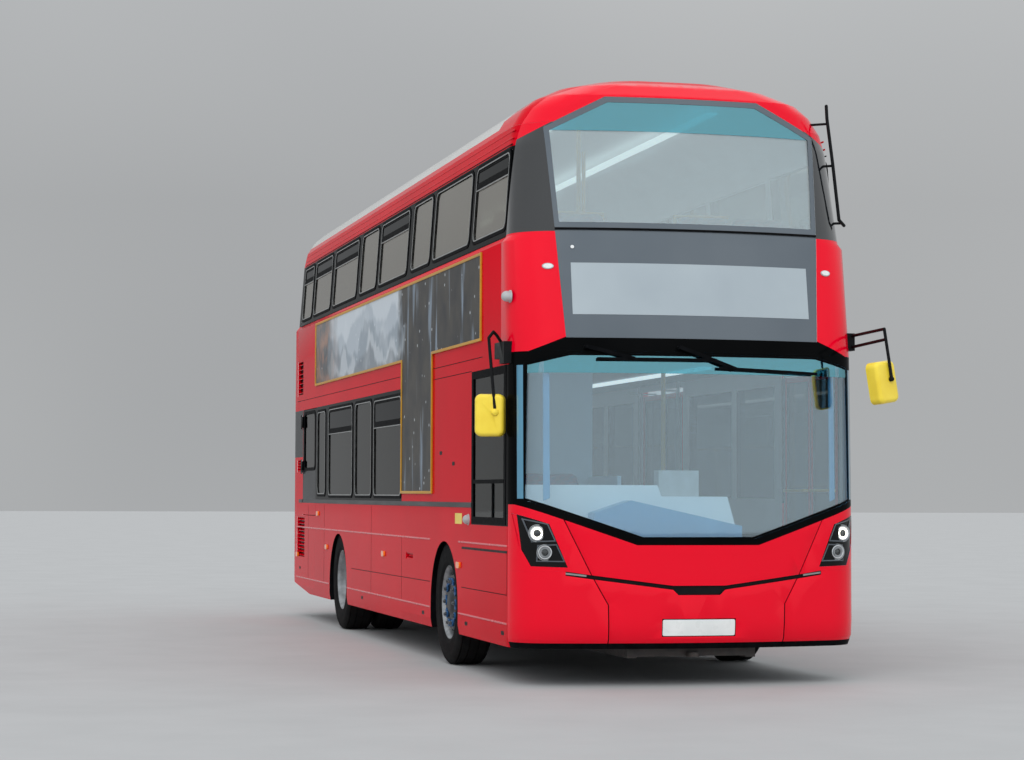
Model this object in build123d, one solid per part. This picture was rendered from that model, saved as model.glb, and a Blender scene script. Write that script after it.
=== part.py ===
from build123d import *
import os
from math import asin, atan2, copysign, cos, degrees, hypot, radians, sin, sqrt

# A low-floor double decker bus with a two-leaf entrance, a two-leaf exit and an emergency door.
# The frame: +Z up, the nose faces -Y, +X is the nearside with the doors, -X the offside.
# A station is a distance in mm behind the foremost point of the nose.
os.makedirs("parts", exist_ok=True)

# Driving dimensions
LENGTH = 10500.0
WIDTH = 2520.0
ROOF_Z = 4345.0
WHEELBASE = 4940.0
FRONT_AXLE = 2500.0
MIRROR_LEAD = 250.0
NOSE = (MIRROR_LEAD - LENGTH) / 2
HALF = WIDTH / 2
REAR_AXLE = FRONT_AXLE + WHEELBASE
EMERGENCY_HINGE = 9750.0

# Walls, joints between panels, and clearances
WALL = 50.0
SKIRT_Z = 260.0
DECK_JOINT_Z = 2300.0
CANTRAIL_Z = 3930.0
FRONT_JOINT = 400.0
PILLAR_JOINT = 620.0
REAR_JOINT = LENGTH - 350.0
SHUT_GAP = 6.0
SEAL = 3.0
GLASS_SET = 6.0
GLASS = 8.0

# Decks
FLOOR_Z = 340.0
FLOOR = 40.0
REAR_FLOOR_Z = 740.0
REAR_FLOOR_START = 6350.0
UPPER_FLOOR_Z = 2352.0
UPPER_FLOOR = 50.0
LOWER_CEILING_Z = UPPER_FLOOR_Z - UPPER_FLOOR
BULKHEAD = EMERGENCY_HINGE + 60.0
ENGINE_BOX_Z = 1480.0

# Wheels
TYRE_R = 478.0
TYRE_W = 275.0
RIM_R = 286.0
RIM_LIP = 11.0
TWIN_PITCH = 315.0
WHEEL_FACE = HALF - 25.0
WHEEL_X = WHEEL_FACE - TYRE_W / 2
SCRUB = 90.0
KINGPIN_X = WHEEL_X - SCRUB
LOCK = 40.0
ARCH_HALF = 502.0
ARCH_LIP = 14.0
FRONT_ARCH_Z = 950.0
REAR_ARCH_Z = 925.0
BOX_WALL = 12.0
HUB_R = 95.0
SPINDLE_R = 40.0
RUN_GAP = 1.0
STUB_GAP = 5.0
SEAT_PLAY = 0.3

# The body's plan at each height, from the skirt to the crown.
# Columns: height, nose station, tail station, half width, front corner radius, rear corner radius.
HULL = [
    (SKIRT_Z, 60, LENGTH - 60, HALF - 12, 300, 190),
    (330, 12, LENGTH - 30, HALF, 312, 200),
    (430, 0, LENGTH - 10, HALF, 316, 200),
    (1100, 0, LENGTH, HALF, 320, 200),
    (DECK_JOINT_Z, 28, LENGTH, HALF, 330, 200),
    (3085, 158, LENGTH - 15, HALF, 330, 200),
    (3127, 165, LENGTH - 18, HALF - 34, 330, 195),
    (3790, 310, LENGTH - 60, HALF - 80, 330, 190),
    (CANTRAIL_Z, 342, LENGTH - 80, HALF - 108, 340, 200),
    (4050, 368, LENGTH - 115, HALF - 180, 350, 220),
    (4130, 388, LENGTH - 165, HALF - 275, 360, 240),
    (4220, 500, LENGTH - 280, HALF - 460, 380, 260),
    (4290, 700, LENGTH - 470, HALF - 700, 360, 260),
    (ROOF_Z, 1080, LENGTH - 850, 280, 200, 200),
]
SWEEP = 4300.0
ROOF_FROM = CANTRAIL_Z


def at(station):
    return NOSE + station


def block(x, y, z):
    """A box from its three pairs of limits."""
    size = [abs(b - a) for a, b in (x, y, z)]
    return Pos(*[(a + b) / 2 for a, b in (x, y, z)]) * Box(*size)


def rod(start, end, radius):
    """A round bar between two points."""
    start, end = Vector(*start), Vector(*end)
    plane = Plane(origin=start, z_dir=end - start)
    return plane * Cylinder(radius, (end - start).length, align=(Align.CENTER, Align.CENTER, Align.MIN))


def outline_xz(points, y0, y1):
    """A prism along Y over an outline of X and Z."""
    face = Plane.XZ * make_face(Polyline(*[(x, z) for x, z in points], close=True))
    return Pos(0, y1, 0) * extrude(face, y1 - y0)


def outline_yz(points, x0, x1):
    """A prism along X over an outline of Y and Z."""
    face = Plane.YZ * make_face(Polyline(*[(y, z) for y, z in points], close=True))
    return Pos(x0, 0, 0) * extrude(face, x1 - x0)


def both(points):
    """A left half outline, given from the top inwards, closed by its mirror."""
    return points + [(-x, z) for x, z in reversed(points)]


def plan(z, nose, tail, half, front_r, rear_r, sweep):
    """The body's outline at one height: a swept nose, four round corners and straight sides."""
    y_corner = at(nose) + sweep - sqrt((sweep - front_r) ** 2 - (half - front_r) ** 2)
    aim = atan2(y_corner - at(nose) - sweep, half - front_r)
    end_x, end_y = sweep * cos(aim), at(nose) + sweep + sweep * sin(aim)
    mid = aim / 2
    mid_x, mid_y = half - front_r + front_r * cos(mid), y_corner + front_r * sin(mid)
    tail_y, turn = at(tail), rear_r * (1 - sqrt(0.5))
    flat_x, bend_x = half - rear_r, half - turn
    rear_y, bend_y = tail_y - rear_r, tail_y - turn
    edges = [
        Line((-half, rear_y, z), (-half, y_corner, z)),
        ThreePointArc((-half, y_corner, z), (-mid_x, mid_y, z), (-end_x, end_y, z)),
        ThreePointArc((-end_x, end_y, z), (0, at(nose), z), (end_x, end_y, z)),
        ThreePointArc((end_x, end_y, z), (mid_x, mid_y, z), (half, y_corner, z)),
        Line((half, y_corner, z), (half, rear_y, z)),
        ThreePointArc((half, rear_y, z), (bend_x, bend_y, z), (flat_x, tail_y, z)),
        Line((flat_x, tail_y, z), (-flat_x, tail_y, z)),
        ThreePointArc((-flat_x, tail_y, z), (-bend_x, bend_y, z), (-half, rear_y, z)),
    ]
    return make_face(Wire(edges))


def hull(inset):
    """The closed body form, set in all round and down from the roof."""
    rings = []
    for z, nose, tail, half, front_r, rear_r in HULL:
        drop = inset if z >= ROOF_FROM else 0
        rings.append(plan(z - drop, nose + inset, tail - inset, half - inset,
                          front_r - inset, rear_r - inset, SWEEP - inset))
    return loft(rings, ruled=True)


def hull_row(z):
    """The hull table read at a height between its rows."""
    for low, high in zip(HULL, HULL[1:]):
        if low[0] <= z <= high[0]:
            share = (z - low[0]) / (high[0] - low[0])
            return [a + share * (b - a) for a, b in zip(low, high)]
    return list(HULL[-1])


def front_y(x, z):
    """The nose's surface at a place in front view, within its swept part."""
    return at(hull_row(z)[1]) + SWEEP - sqrt(SWEEP ** 2 - x ** 2)


OUTER = hull(0)
INNER = hull(WALL)
SHELL = OUTER - INNER
GLAZING = hull(GLASS_SET) - hull(GLASS_SET + GLASS)
EVERYWHERE = (-2 * HALF, 2 * HALF)
SIDES = (("offside", -1), ("nearside", 1))


def side_span(side):
    """The X limits of one side's half of the body."""
    return (-2 * HALF, 0) if side < 0 else (0, 2 * HALF)


# Windows of one side. Columns: first station, last station, sill height, head height.
LOWER_OFFSIDE = [(470, 1525, 1111, 2205), (4245, 5551, 1288, 2160), (5655, 6523, 1288, 2166),
                 (6659, 8062, 1287, 2166), (8243, 8774, 1298, 2160)]
LOWER_NEARSIDE = [(1830, 2730, 1288, 2160), (2850, 3980, 1288, 2160), (5655, 6523, 1288, 2166),
                  (6659, 8062, 1287, 2166), (8243, 9650, 1298, 2160)]
UPPER = [(649, 1715, 3184, 3753), (1830, 3187, 3184, 3753), (3299, 4089, 3184, 3753),
         (4262, 5582, 3184, 3753), (5706, 6572, 3184, 3753), (6746, 8117, 3184, 3753),
         (8269, 9349, 3184, 3753), (9473, 10120, 3184, 3753)]
# Air grilles. Columns: first station, last station, lowest, highest, number of blades.
GRILLES = [(9760, 10140, 2365, 2742, 7), (9850, 10140, 1540, 1681, 4), (9602, 10140, 630, 1070, 11),
           (3730, 4027, 770, 830, 2)]
GRILLE_DEPTH = 30.0

# Doorways in the nearside. Columns: first station, last station.
FRONT_DOORWAY = (470.0, 1670.0)
CENTRE_DOORWAY = (4150.0, 5350.0)
DOOR_HEAD_Z = 2250.0
LEAF_Z = (366.0, 2212.0)
LEAF = 36.0
LEAF_X = HALF - 7 - LEAF / 2
POST_R = 14.0
POST_INSET = 24.0
ARM = 12.0
ARM_HALF = 16.0
ARM_GAP = 6.0
PIN_R = 8.0
PIN_IN = 24.0

# Emergency door and engine cover
EMERGENCY = (8860.0, EMERGENCY_HINGE - 8, 1085.0, 2205.0)
EMERGENCY_GLASS = (8919.0, 9653.0, 1568.0, 2169.0)
EMERGENCY_HINGES = (1600.0, 2075.0)
HINGE_HALF = 75.0
STRAP_HALF = 60.0
HINGE_OUT = 14.0
HINGE_R = 10.0
COVER_HALF = 900.0
COVER_Z = (470.0, 1250.0)

# Front openings, left halves from the top inwards. Columns: X, Z.
WINDSCREEN = both([(-900, 2285), (-1175, 2215), (-1190, 1275), (-400, 1010)])
UPPER_SCREEN = both([(-563, 4118), (-1000, 3895), (-962, 3168)])
DESTINATION = both([(-962, 3150), (-915, 2393)])
HEADLAMP = [(-1248, 1186), (-1034, 1113), (-910, 817), (-1148, 824), (-1214, 964)]
BUMPER_TOP = both([(-1400, 790), (-925, 790), (-750, 765), (-187, 693)])
GROOVE = both([(-925, 790), (-750, 765), (-187, 693)]) \
    + [(-x, z) for x, z in both([(-925, 762), (-750, 738), (-187, 665), (-150, 629)])]
NOSE_SEAM = [(-935, 1141), (-750, 765), (-636, 562), (-630, 240)]
SEAM = 7.0
GROOVE_DEPTH = 22.0
PLATE_HALF = 265.0
PLATE_Z = (345.0, 467.0)
PLATE_DEPTH = 8.0
REAR_SCREEN = both([(-880, 3740), (-900, 3200)])

# Round rear lamps, and the rise of the skirt behind the rear wheels
REAR_LAMP_Z = (1480.0, 1640.0, 1800.0)
REAR_LAMP_X = 1090.0
REAR_LAMP_R = 62.0
RISE_FROM = 9277.0
RISE_TO_Z = 385.0


def pierce(solid, outline):
    return solid - outline_xz(outline, at(-400), at(PILLAR_JOINT + 300))


def stripe(points, width, y0, y1):
    """A prism along Y over a line of even width through points of X and Z."""
    shape = None
    for (ax, az), (bx, bz) in zip(points, points[1:]):
        turn = degrees(atan2(bz - az, bx - ax))
        run = Pos((ax + bx) / 2, (y0 + y1) / 2, (az + bz) / 2) * Rot(0, -turn, 0) \
            * Box(hypot(bx - ax, bz - az) + width, y1 - y0, width)
        shape = run if shape is None else shape + run
    return shape


def rise():
    """The cutter under the tail, where the skirt rises behind the rear wheels."""
    start, end = at(RISE_FROM), at(LENGTH + 100)
    return outline_yz([(start, SKIRT_Z - 1), (end, RISE_TO_Z), (end, 0), (start, 0)], *EVERYWHERE)


def make_front():
    """The nose panel, the bumper, the upper front with its corner pillars, and the dome."""
    nose = SHELL & block(EVERYWHERE, (at(-100), at(FRONT_JOINT)), (SKIRT_Z, DECK_JOINT_Z))
    nose = pierce(nose, WINDSCREEN)
    lamps = outline_xz(HEADLAMP, at(-100), at(FRONT_JOINT)) + \
        outline_xz([(-x, z) for x, z in HEADLAMP], at(-100), at(FRONT_JOINT))
    nose = nose - lamps
    for mirrored in (1, -1):
        line = stripe([(mirrored * x, z) for x, z in NOSE_SEAM], SEAM, at(-100), at(FRONT_JOINT))
        nose = nose - (line - hull(SEAM))
    nose = nose - (outline_xz(GROOVE, at(-100), at(FRONT_JOINT)) - hull(GROOVE_DEPTH))
    plate = block((-PLATE_HALF, PLATE_HALF), (at(-100), at(FRONT_JOINT)), PLATE_Z)
    nose = nose - (plate - hull(PLATE_DEPTH))
    below = outline_xz(BUMPER_TOP + [(1400, 0), (-1400, 0)], at(-100), at(FRONT_JOINT))
    upper = SHELL & block(EVERYWHERE, (at(-100), at(PILLAR_JOINT)), (DECK_JOINT_Z, CANTRAIL_Z))
    upper = pierce(pierce(upper, UPPER_SCREEN), DESTINATION)
    dome = SHELL & block(EVERYWHERE, (at(-100), at(PILLAR_JOINT)), (CANTRAIL_Z, ROOF_Z))
    return {
        "front_panel": nose - below,
        "front_bumper": nose & below,
        "upper_front": upper,
        "front_dome": pierce(dome, UPPER_SCREEN),
    }


def make_front_glass():
    """The two bonded windscreens and the dark glazed destination panel."""
    screens = GLAZING & (outline_xz(WINDSCREEN, at(-400), at(FRONT_JOINT))
                         + outline_xz(UPPER_SCREEN, at(-400), at(PILLAR_JOINT)))
    display = (hull(GLASS_SET) - hull(WALL - GLASS)) & outline_xz(DESTINATION, at(-400), at(PILLAR_JOINT))
    return {"windscreens": screens, "destination_panel": display}


def make_lamps():
    """Headlamp units in the nose, and round rear lamps in the tail."""
    shell = hull(SEAL) - hull(WALL)
    shapes = []
    for mirrored in (1, -1):
        outline = [(mirrored * x, z) for x, z in HEADLAMP]
        shapes.append(shell & outline_xz(outline, at(-100), at(FRONT_JOINT)))
    for side in (-1, 1):
        for z in REAR_LAMP_Z:
            shapes.append(Pos(side * REAR_LAMP_X, at(LENGTH), z) * Rot(90, 0, 0)
                          * Cylinder(REAR_LAMP_R, 2 * WALL) & (hull(0) - hull(WALL)))
    return {"lamps": Compound(children=[s for shape in shapes for s in shape.solids()])}


def arch(station, half, top):
    """The cutter of a wheel opening: straight below the axle, flat-topped round above."""
    low = SKIRT_Z - 50
    edges = [
        Line((at(station - half), low), (at(station + half), low)),
        Line((at(station + half), low), (at(station + half), TYRE_R)),
        ThreePointArc((at(station + half), TYRE_R), (at(station), top), (at(station - half), TYRE_R)),
        Line((at(station - half), TYRE_R), (at(station - half), low)),
    ]
    return Plane.YZ * make_face(Wire(edges))


def make_sides():
    """Lower and upper walls of both sides, with their openings."""
    parts = {}
    for name, side in SIDES:
        span = side_span(side)
        lower = SHELL & block(span, (at(FRONT_JOINT), at(REAR_JOINT)), (SKIRT_Z, DECK_JOINT_Z))
        upper = SHELL & block(span, (at(PILLAR_JOINT), at(REAR_JOINT)), (DECK_JOINT_Z, CANTRAIL_Z))
        for station, top in ((FRONT_AXLE, FRONT_ARCH_Z), (REAR_AXLE, REAR_ARCH_Z)):
            lower = lower - extrude(arch(station, ARCH_HALF, top), side * 2 * HALF)
            lower = lower - rod((0, at(station), TYRE_R), (side * (HALF - ARCH_LIP), at(station), TYRE_R),
                                TYRE_R + 25)
        for y0, y1, z0, z1 in (LOWER_OFFSIDE if side < 0 else LOWER_NEARSIDE):
            lower = lower - block(span, (at(y0), at(y1)), (z0, z1))
        for y0, y1, z0, z1, blades in GRILLES:
            cut = block(span, (at(y0), at(y1)), (z0, z1))
            if z0 < DECK_JOINT_Z:
                lower = lower - cut
            else:
                upper = upper - cut
        for y0, y1, z0, z1 in UPPER:
            upper = upper - block(span, (at(y0), at(y1)), (z0, z1))
        if side > 0:
            for y0, y1 in (FRONT_DOORWAY, CENTRE_DOORWAY):
                lower = lower - block(span, (at(y0), at(y1)), (0, DOOR_HEAD_Z))
        else:
            y0, y1, z0, z1 = EMERGENCY
            lower = lower - block(span, (at(y0), at(y1)), (z0, z1))
        parts["lower_side_" + name] = lower - rise()
        parts["upper_side_" + name] = upper
    return parts


def make_side_glass():
    """Every fixed pane of both sides and the rear window."""
    panes = []
    for name, side in SIDES:
        span = side_span(side)
        rows = (LOWER_OFFSIDE if side < 0 else LOWER_NEARSIDE) + UPPER
        for y0, y1, z0, z1 in rows:
            panes += (GLAZING & block(span, (at(y0), at(y1)), (z0, z1))).solids()
    panes += (GLAZING & outline_xz(REAR_SCREEN, at(REAR_JOINT + 100), at(LENGTH + 100))).solids()
    return {"side_windows": Compound(children=panes)}


def make_rear():
    """The tail with its engine opening, and the top-hinged engine cover."""
    tail = SHELL & block(EVERYWHERE, (at(REAR_JOINT), at(LENGTH + 100)), (SKIRT_Z, CANTRAIL_Z))
    tail = tail - outline_xz(REAR_SCREEN, at(REAR_JOINT + 100), at(LENGTH + 100))
    opening = block((-COVER_HALF, COVER_HALF), (at(REAR_JOINT + 100), at(LENGTH + 100)), COVER_Z)
    inner = block((-COVER_HALF + SHUT_GAP, COVER_HALF - SHUT_GAP), (at(REAR_JOINT + 100), at(LENGTH + 100)),
                  (COVER_Z[0] + SHUT_GAP, COVER_Z[1] - SHUT_GAP))
    cover = SHELL & inner
    tail = tail - opening
    axis_y, axis_z = at(LENGTH) + HINGE_OUT, COVER_Z[1]
    barrel, cheek = 60.0, 12.0
    for x in (-COVER_HALF / 2, COVER_HALF / 2):
        cover += rod((x - barrel / 2, axis_y, axis_z), (x + barrel / 2, axis_y, axis_z), HINGE_R + 2)
        cover += block((x - barrel / 2, x + barrel / 2), (at(LENGTH) - 5, axis_y), (axis_z - 40, axis_z - 8))
        cover = cover - rod((x - barrel, axis_y, axis_z), (x + barrel, axis_y, axis_z), PIN_R / 2 + SEAT_PLAY)
        ends = (x - barrel / 2 - cheek, x + barrel / 2 + cheek)
        tail += rod((ends[0], axis_y, axis_z), (ends[1], axis_y, axis_z), PIN_R / 2)
        for x0 in (ends[0], ends[1] - cheek + SEAT_PLAY):
            x1 = x0 + cheek - SEAT_PLAY
            tail += rod((x0, axis_y, axis_z), (x1, axis_y, axis_z), HINGE_R + 2)
            tail += block((x0, x1), (at(LENGTH) - 5, axis_y), (axis_z, axis_z + 30))
    for side in (-1, 1):
        for z in REAR_LAMP_Z:
            lamp = Cylinder(REAR_LAMP_R, 4 * WALL)
            tail = tail - Pos(side * REAR_LAMP_X, at(LENGTH), z) * Rot(90, 0, 0) * lamp
    return {"rear_panel": tail - rise(), "engine_cover": cover}


def make_roof():
    roof = SHELL & block(EVERYWHERE, (at(PILLAR_JOINT), at(LENGTH + 100)), (CANTRAIL_Z, ROOF_Z))
    return {"roof": roof}


def make_grilles():
    """Louvred air grilles: a frame with slanted blades fused across it."""
    frame = 12.0
    blade, tilt = 5.0, 35.0
    solids = []
    for name, side in SIDES:
        for y0, y1, z0, z1, blades in GRILLES:
            half = hull_row((z0 + z1) / 2)[3]
            x0, x1 = sorted((side * (half - SEAL), side * (half - SEAL - GRILLE_DEPTH)))
            grille = block((x0, x1), (at(y0), at(y1)), (z0, z1)) \
                - block(EVERYWHERE, (at(y0 + frame), at(y1 - frame)), (z0 + frame, z1 - frame))
            pitch = (z1 - z0 - 2 * frame) / blades
            for step in range(blades):
                z = z0 + frame + pitch * (step + 0.5)
                slat = Pos((x0 + x1) / 2, at((y0 + y1) / 2), z) * Rot(0, side * tilt, 0) \
                    * Box(GRILLE_DEPTH, y1 - y0 - frame, blade)
                grille += slat & block((x0, x1), (at(y0), at(y1)), (z0, z1))
            solids += grille.solids()
    return {"vent_grilles": Compound(children=solids)}


# Inside
SEAT_W = 870.0
SEAT_PITCH = 760.0
SEAT_GAP = 12.0
# A double seat from the side. Columns: distance behind its front edge, height over the floor.
SEAT_PROFILE = [(0, 390), (0, 450), (60, 470), (400, 455), (520, 1080), (580, 1080), (500, 400), (460, 380)]
SEAT_BACK_TOP = 1100.0
LEG_SPREAD = 100.0
LEG_HALF = 20.0
LEG_FROM, LEG_TO, LEG_TOP = 150.0, 250.0, 400.0
# Columns: first station, rows, side (-1 offside, 1 nearside), floor height.
LOWER_SEATS = [(4520, 2, -1, FLOOR_Z), (6780, 3, -1, REAR_FLOOR_Z), (6780, 3, 1, REAR_FLOOR_Z)]
UPPER_SEATS = [(900, 1, -1, UPPER_FLOOR_Z), (900, 12, 1, UPPER_FLOOR_Z), (4700, 7, -1, UPPER_FLOOR_Z)]
STAIR = (2150.0, 4230.0)
STAIR_X = (-HALF + WALL + 2, -560.0)
STEPS = 9


def seat(x0, x1, station, floor):
    """One double seat: two legs under a cushion with a tall raked back, all one solid."""
    y = at(station)
    shell = outline_yz([(y + back, floor + up) for back, up in SEAT_PROFILE], x0, x1)
    over_box = floor == REAR_FLOOR_Z and abs(station + (LEG_FROM + LEG_TO) / 2 - REAR_AXLE) < REAR_BOX[1]
    foot = REAR_BOX[2] + BOX_WALL if over_box else floor
    mid = (x0 + x1) / 2
    for x in (mid - LEG_SPREAD, mid + LEG_SPREAD):
        shell += block((x - LEG_HALF, x + LEG_HALF), (y + LEG_FROM, y + LEG_TO), (foot, floor + LEG_TOP))
    return shell


def make_seats():
    parts = {}
    for name, table in (("lower_seats", LOWER_SEATS), ("upper_seats", UPPER_SEATS)):
        solids = []
        for station, rows, side, floor in table:
            inside = hull_row(floor + SEAT_BACK_TOP)[3] - WALL - SEAT_GAP
            x0, x1 = sorted((side * inside, side * (inside - SEAT_W)))
            for row in range(rows):
                solids.append(seat(x0, x1, station + row * SEAT_PITCH, floor))
        parts[name] = Compound(children=[s for shape in solids for s in shape.solids()])
    return parts


FRONT_BOX = (KINGPIN_X - TYRE_R * sin(radians(LOCK)) - TYRE_W / 2 + SCRUB - 40, 560.0, 990.0)
REAR_BOX = (WHEEL_X - TWIN_PITCH - TYRE_W / 2 - 40, 530.0, 1000.0)


def wheel_boxes():
    """The outer and the inner form of each wheel box, as a solid and its hollow."""
    for side in (-1, 1):
        for station, floor, (inner, half, top) in ((FRONT_AXLE, FLOOR_Z, FRONT_BOX),
                                                   (REAR_AXLE, REAR_FLOOR_Z, REAR_BOX)):
            outer_x = sorted((side * (inner - BOX_WALL), side * (HALF - WALL)))
            hollow_x = sorted((side * inner, side * 2 * HALF))
            far = half + BOX_WALL
            yield (block(outer_x, (at(station - far), at(station + far)), (floor - FLOOR, top + BOX_WALL)),
                   block(hollow_x, (at(station - half), at(station + half)), (0, top)))


def make_lower_floors():
    """The low floor with its door sills, the raised rear floor, the wheel boxes and the engine's housing."""
    start, step, end = at(90), at(REAR_FLOOR_START), at(LENGTH - 60)
    low = block(EVERYWHERE, (start, step), (FLOOR_Z - FLOOR, FLOOR_Z)) & INNER
    for y0, y1 in (FRONT_DOORWAY, CENTRE_DOORWAY):
        low += block((HALF - WALL - 50, HALF - 4), (at(y0), at(y1)), (FLOOR_Z - FLOOR, FLOOR_Z))
    high = outline_yz([(step, FLOOR_Z - FLOOR), (step, REAR_FLOOR_Z), (at(BULKHEAD), REAR_FLOOR_Z),
                       (at(BULKHEAD), REAR_FLOOR_Z - FLOOR), (step + FLOOR, REAR_FLOOR_Z - FLOOR),
                       (step + FLOOR, FLOOR_Z - FLOOR)], *EVERYWHERE) & INNER
    wall = at(BULKHEAD)
    housing = outline_yz([(wall, REAR_FLOOR_Z - FLOOR), (wall, ENGINE_BOX_Z), (end, ENGINE_BOX_Z),
                          (end, ENGINE_BOX_Z - FLOOR), (wall + FLOOR, ENGINE_BOX_Z - FLOOR),
                          (wall + FLOOR, REAR_FLOOR_Z - FLOOR)], *EVERYWHERE) & INNER
    boxes = []
    for outer, hollow in wheel_boxes():
        low = low - outer - hollow
        high = high - outer - hollow
        boxes += ((outer & INNER) - hollow).solids()
    return {"lower_floor": low, "rear_floor": high, "engine_housing": housing,
            "wheel_boxes": Compound(children=boxes)}


def make_upper_floor():
    """The upper deck with its stairwell, and the stairs."""
    deck = INNER & block(EVERYWHERE, (at(60), at(LENGTH)), (LOWER_CEILING_Z, UPPER_FLOOR_Z))
    rise_z = (UPPER_FLOOR_Z - FLOOR_Z) / STEPS
    going = (STAIR[1] - STAIR[0]) / STEPS
    deck = deck - block((-HALF, STAIR_X[1] + 8), (at(STAIR[0] + 2 * going), at(STAIR[1])), (0, 3000))
    outline = [(at(STAIR[0]), FLOOR_Z)]
    for step in range(STEPS - 1):
        y, z = at(STAIR[0] + step * going), FLOOR_Z + (step + 1) * rise_z
        outline += [(y, z), (y + going, z)]
    end = at(STAIR[0] + (STEPS - 1) * going)
    outline += [(end, FLOOR_Z + (STEPS - 2) * rise_z), (at(STAIR[0]) + going, FLOOR_Z)]
    stairs = outline_yz(outline, *STAIR_X)
    clear = 4.0
    far = FRONT_BOX[1] + BOX_WALL + clear
    box = block((-2 * HALF, -FRONT_BOX[0] + BOX_WALL + clear), (at(FRONT_AXLE - far), at(FRONT_AXLE + far)),
                (0, FRONT_BOX[2] + BOX_WALL))
    return {"upper_floor": deck, "staircase": stairs - box}


POLE_R = 17.0
POLE_SHORT = 60.0
# Grab poles. Columns: X, station, lower deck or upper deck.
POLES = [(-280, 4420, 0), (-280, 5200, 0), (280, 5500, 0), (330, 1900, 0), (280, 4060, 0),
         (-240, 2300, 1), (240, 3900, 1), (-240, 4500, 1), (240, 6500, 1), (-240, 8300, 1)]


def make_handrails():
    solids = []
    limits = ((FLOOR_Z, LOWER_CEILING_Z), (UPPER_FLOOR_Z, ROOF_Z - WALL - POLE_SHORT))
    for x, station, deck in POLES:
        low, high = limits[deck]
        pole = rod((x, at(station), low), (x, at(station), high), POLE_R)
        if deck:
            pole = pole & INNER
        solids += pole.solids()
    return {"handrails": Compound(children=solids)}


# The driver's place
DRIVER_X = -680.0
WHEEL_HUB = (DRIVER_X, 900.0, 1130.0)
STEER_R = 225.0
STEER_RIM = 15.0
STEER_TILT = 30.0
CAB_BACK = 1560.0
COLUMN = 200.0
COLUMN_R = 22.0
STEER_HUB_R, STEER_HUB_H = 45.0, 36.0
SPOKE_W, SPOKE_H = 34.0, 12.0


def column(length, radius):
    """The raked steering column, down from the wheel's hub."""
    place = Pos(WHEEL_HUB[0], at(WHEEL_HUB[1]), WHEEL_HUB[2]) * Rot(-STEER_TILT, 0, 0)
    return place * Pos(0, 0, -length / 2) * Cylinder(radius, length)


# The dash from the side, offside and nearside. Columns: station, height.
DASH = [(120, FLOOR_Z), (120, 980), (330, 1010), (520, 960), (700, 1030), (850, 985), (870, 900), (560, 760),
        (430, FLOOR_Z)]
DASH_END = -150.0
NEAR_DASH = [(120, FLOOR_Z), (120, 900), (260, 900), (330, 700), (330, FLOOR_Z)]
NEAR_DASH_FROM = 150.0
CAB_WALL = 30.0
CAB_INNER = -330.0
GATE_FROM = 790.0
GATE_TOP = 1450.0
# The driver's seat from the side. Columns: distance behind its front edge, height over the floor.
DRIVER_SEAT = [(0, 330), (0, 430), (60, 460), (380, 440), (450, 1150), (520, 1150), (500, 330)]
DRIVER_SEAT_FROM = 1010.0
DRIVER_SEAT_HALF = 240.0
DRIVER_BASE_HALF = 150.0
DRIVER_BASE = (60.0, 380.0)
DRIVER_BASE_TOP = 330.0
# The raised dash board and the cowl before it, as X and Z outlines.
BOARD = [(-1185, 900), (-1185, 1382), (-211, 1382), (-180, 1304), (303, 1304), (372, 1066), (372, 900)]
BOARD_STATIONS = (300.0, 560.0)
COWL = [(-713, 900), (-713, 1189), (-449, 1276), (354, 1100), (354, 900)]
COWL_FROM = 130.0
MACHINE = ((-175.0, 119.0), (380.0, 500.0), (1300.0, 1487.0))


def make_cab():
    """The dash with its raised board, the cab's rear screen and the driver's seat."""
    dash = outline_yz([(at(y), z) for y, z in DASH], -HALF, DASH_END)
    first, last = BOARD_STATIONS
    dash += outline_xz(BOARD, at(first), at(last)) + outline_xz(COWL, at(COWL_FROM), at(first))
    x, y, z = MACHINE
    dash += block(x, (at(y[0]), at(y[1])), z)
    dash = (dash & INNER) - column(COLUMN + 15, COLUMN_R + RUN_GAP)
    wall_y = at(CAB_BACK)
    back = block((-HALF + WALL, CAB_INNER), (wall_y, wall_y + CAB_WALL), (FLOOR_Z, LOWER_CEILING_Z))
    gate = block((CAB_INNER - CAB_WALL, CAB_INNER), (at(GATE_FROM), wall_y), (FLOOR_Z, GATE_TOP))
    nearside = outline_yz([(at(y), z) for y, z in NEAR_DASH], NEAR_DASH_FROM, HALF) & INNER
    start = at(DRIVER_SEAT_FROM)
    base = block((DRIVER_X - DRIVER_BASE_HALF, DRIVER_X + DRIVER_BASE_HALF),
                 (start + DRIVER_BASE[0], start + DRIVER_BASE[1]), (FLOOR_Z, FLOOR_Z + DRIVER_BASE_TOP))
    cushion = outline_yz([(start + back_by, FLOOR_Z + up) for back_by, up in DRIVER_SEAT],
                         DRIVER_X - DRIVER_SEAT_HALF, DRIVER_X + DRIVER_SEAT_HALF)
    return {"cab": Compound(children=dash.solids() + (back + gate).solids() + nearside.solids()),
            "driver_seat": base + cushion}


def make_steering_wheel():
    """The rim, three spokes and the hub on its raked column."""
    ring = Torus(STEER_R - STEER_RIM, STEER_RIM)
    shape = ring + Cylinder(STEER_HUB_R, STEER_HUB_H)
    reach = STEER_R - STEER_RIM
    for turn in (90, 210, 330):
        shape += Rot(0, 0, turn) * Pos(reach / 2, 0, 0) * Box(reach, SPOKE_W, SPOKE_H)
    wheel_plane = Pos(WHEEL_HUB[0], at(WHEEL_HUB[1]), WHEEL_HUB[2]) * Rot(-STEER_TILT, 0, 0)
    return {"steering_wheel": wheel_plane * shape + column(COLUMN, COLUMN_R)}


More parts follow.
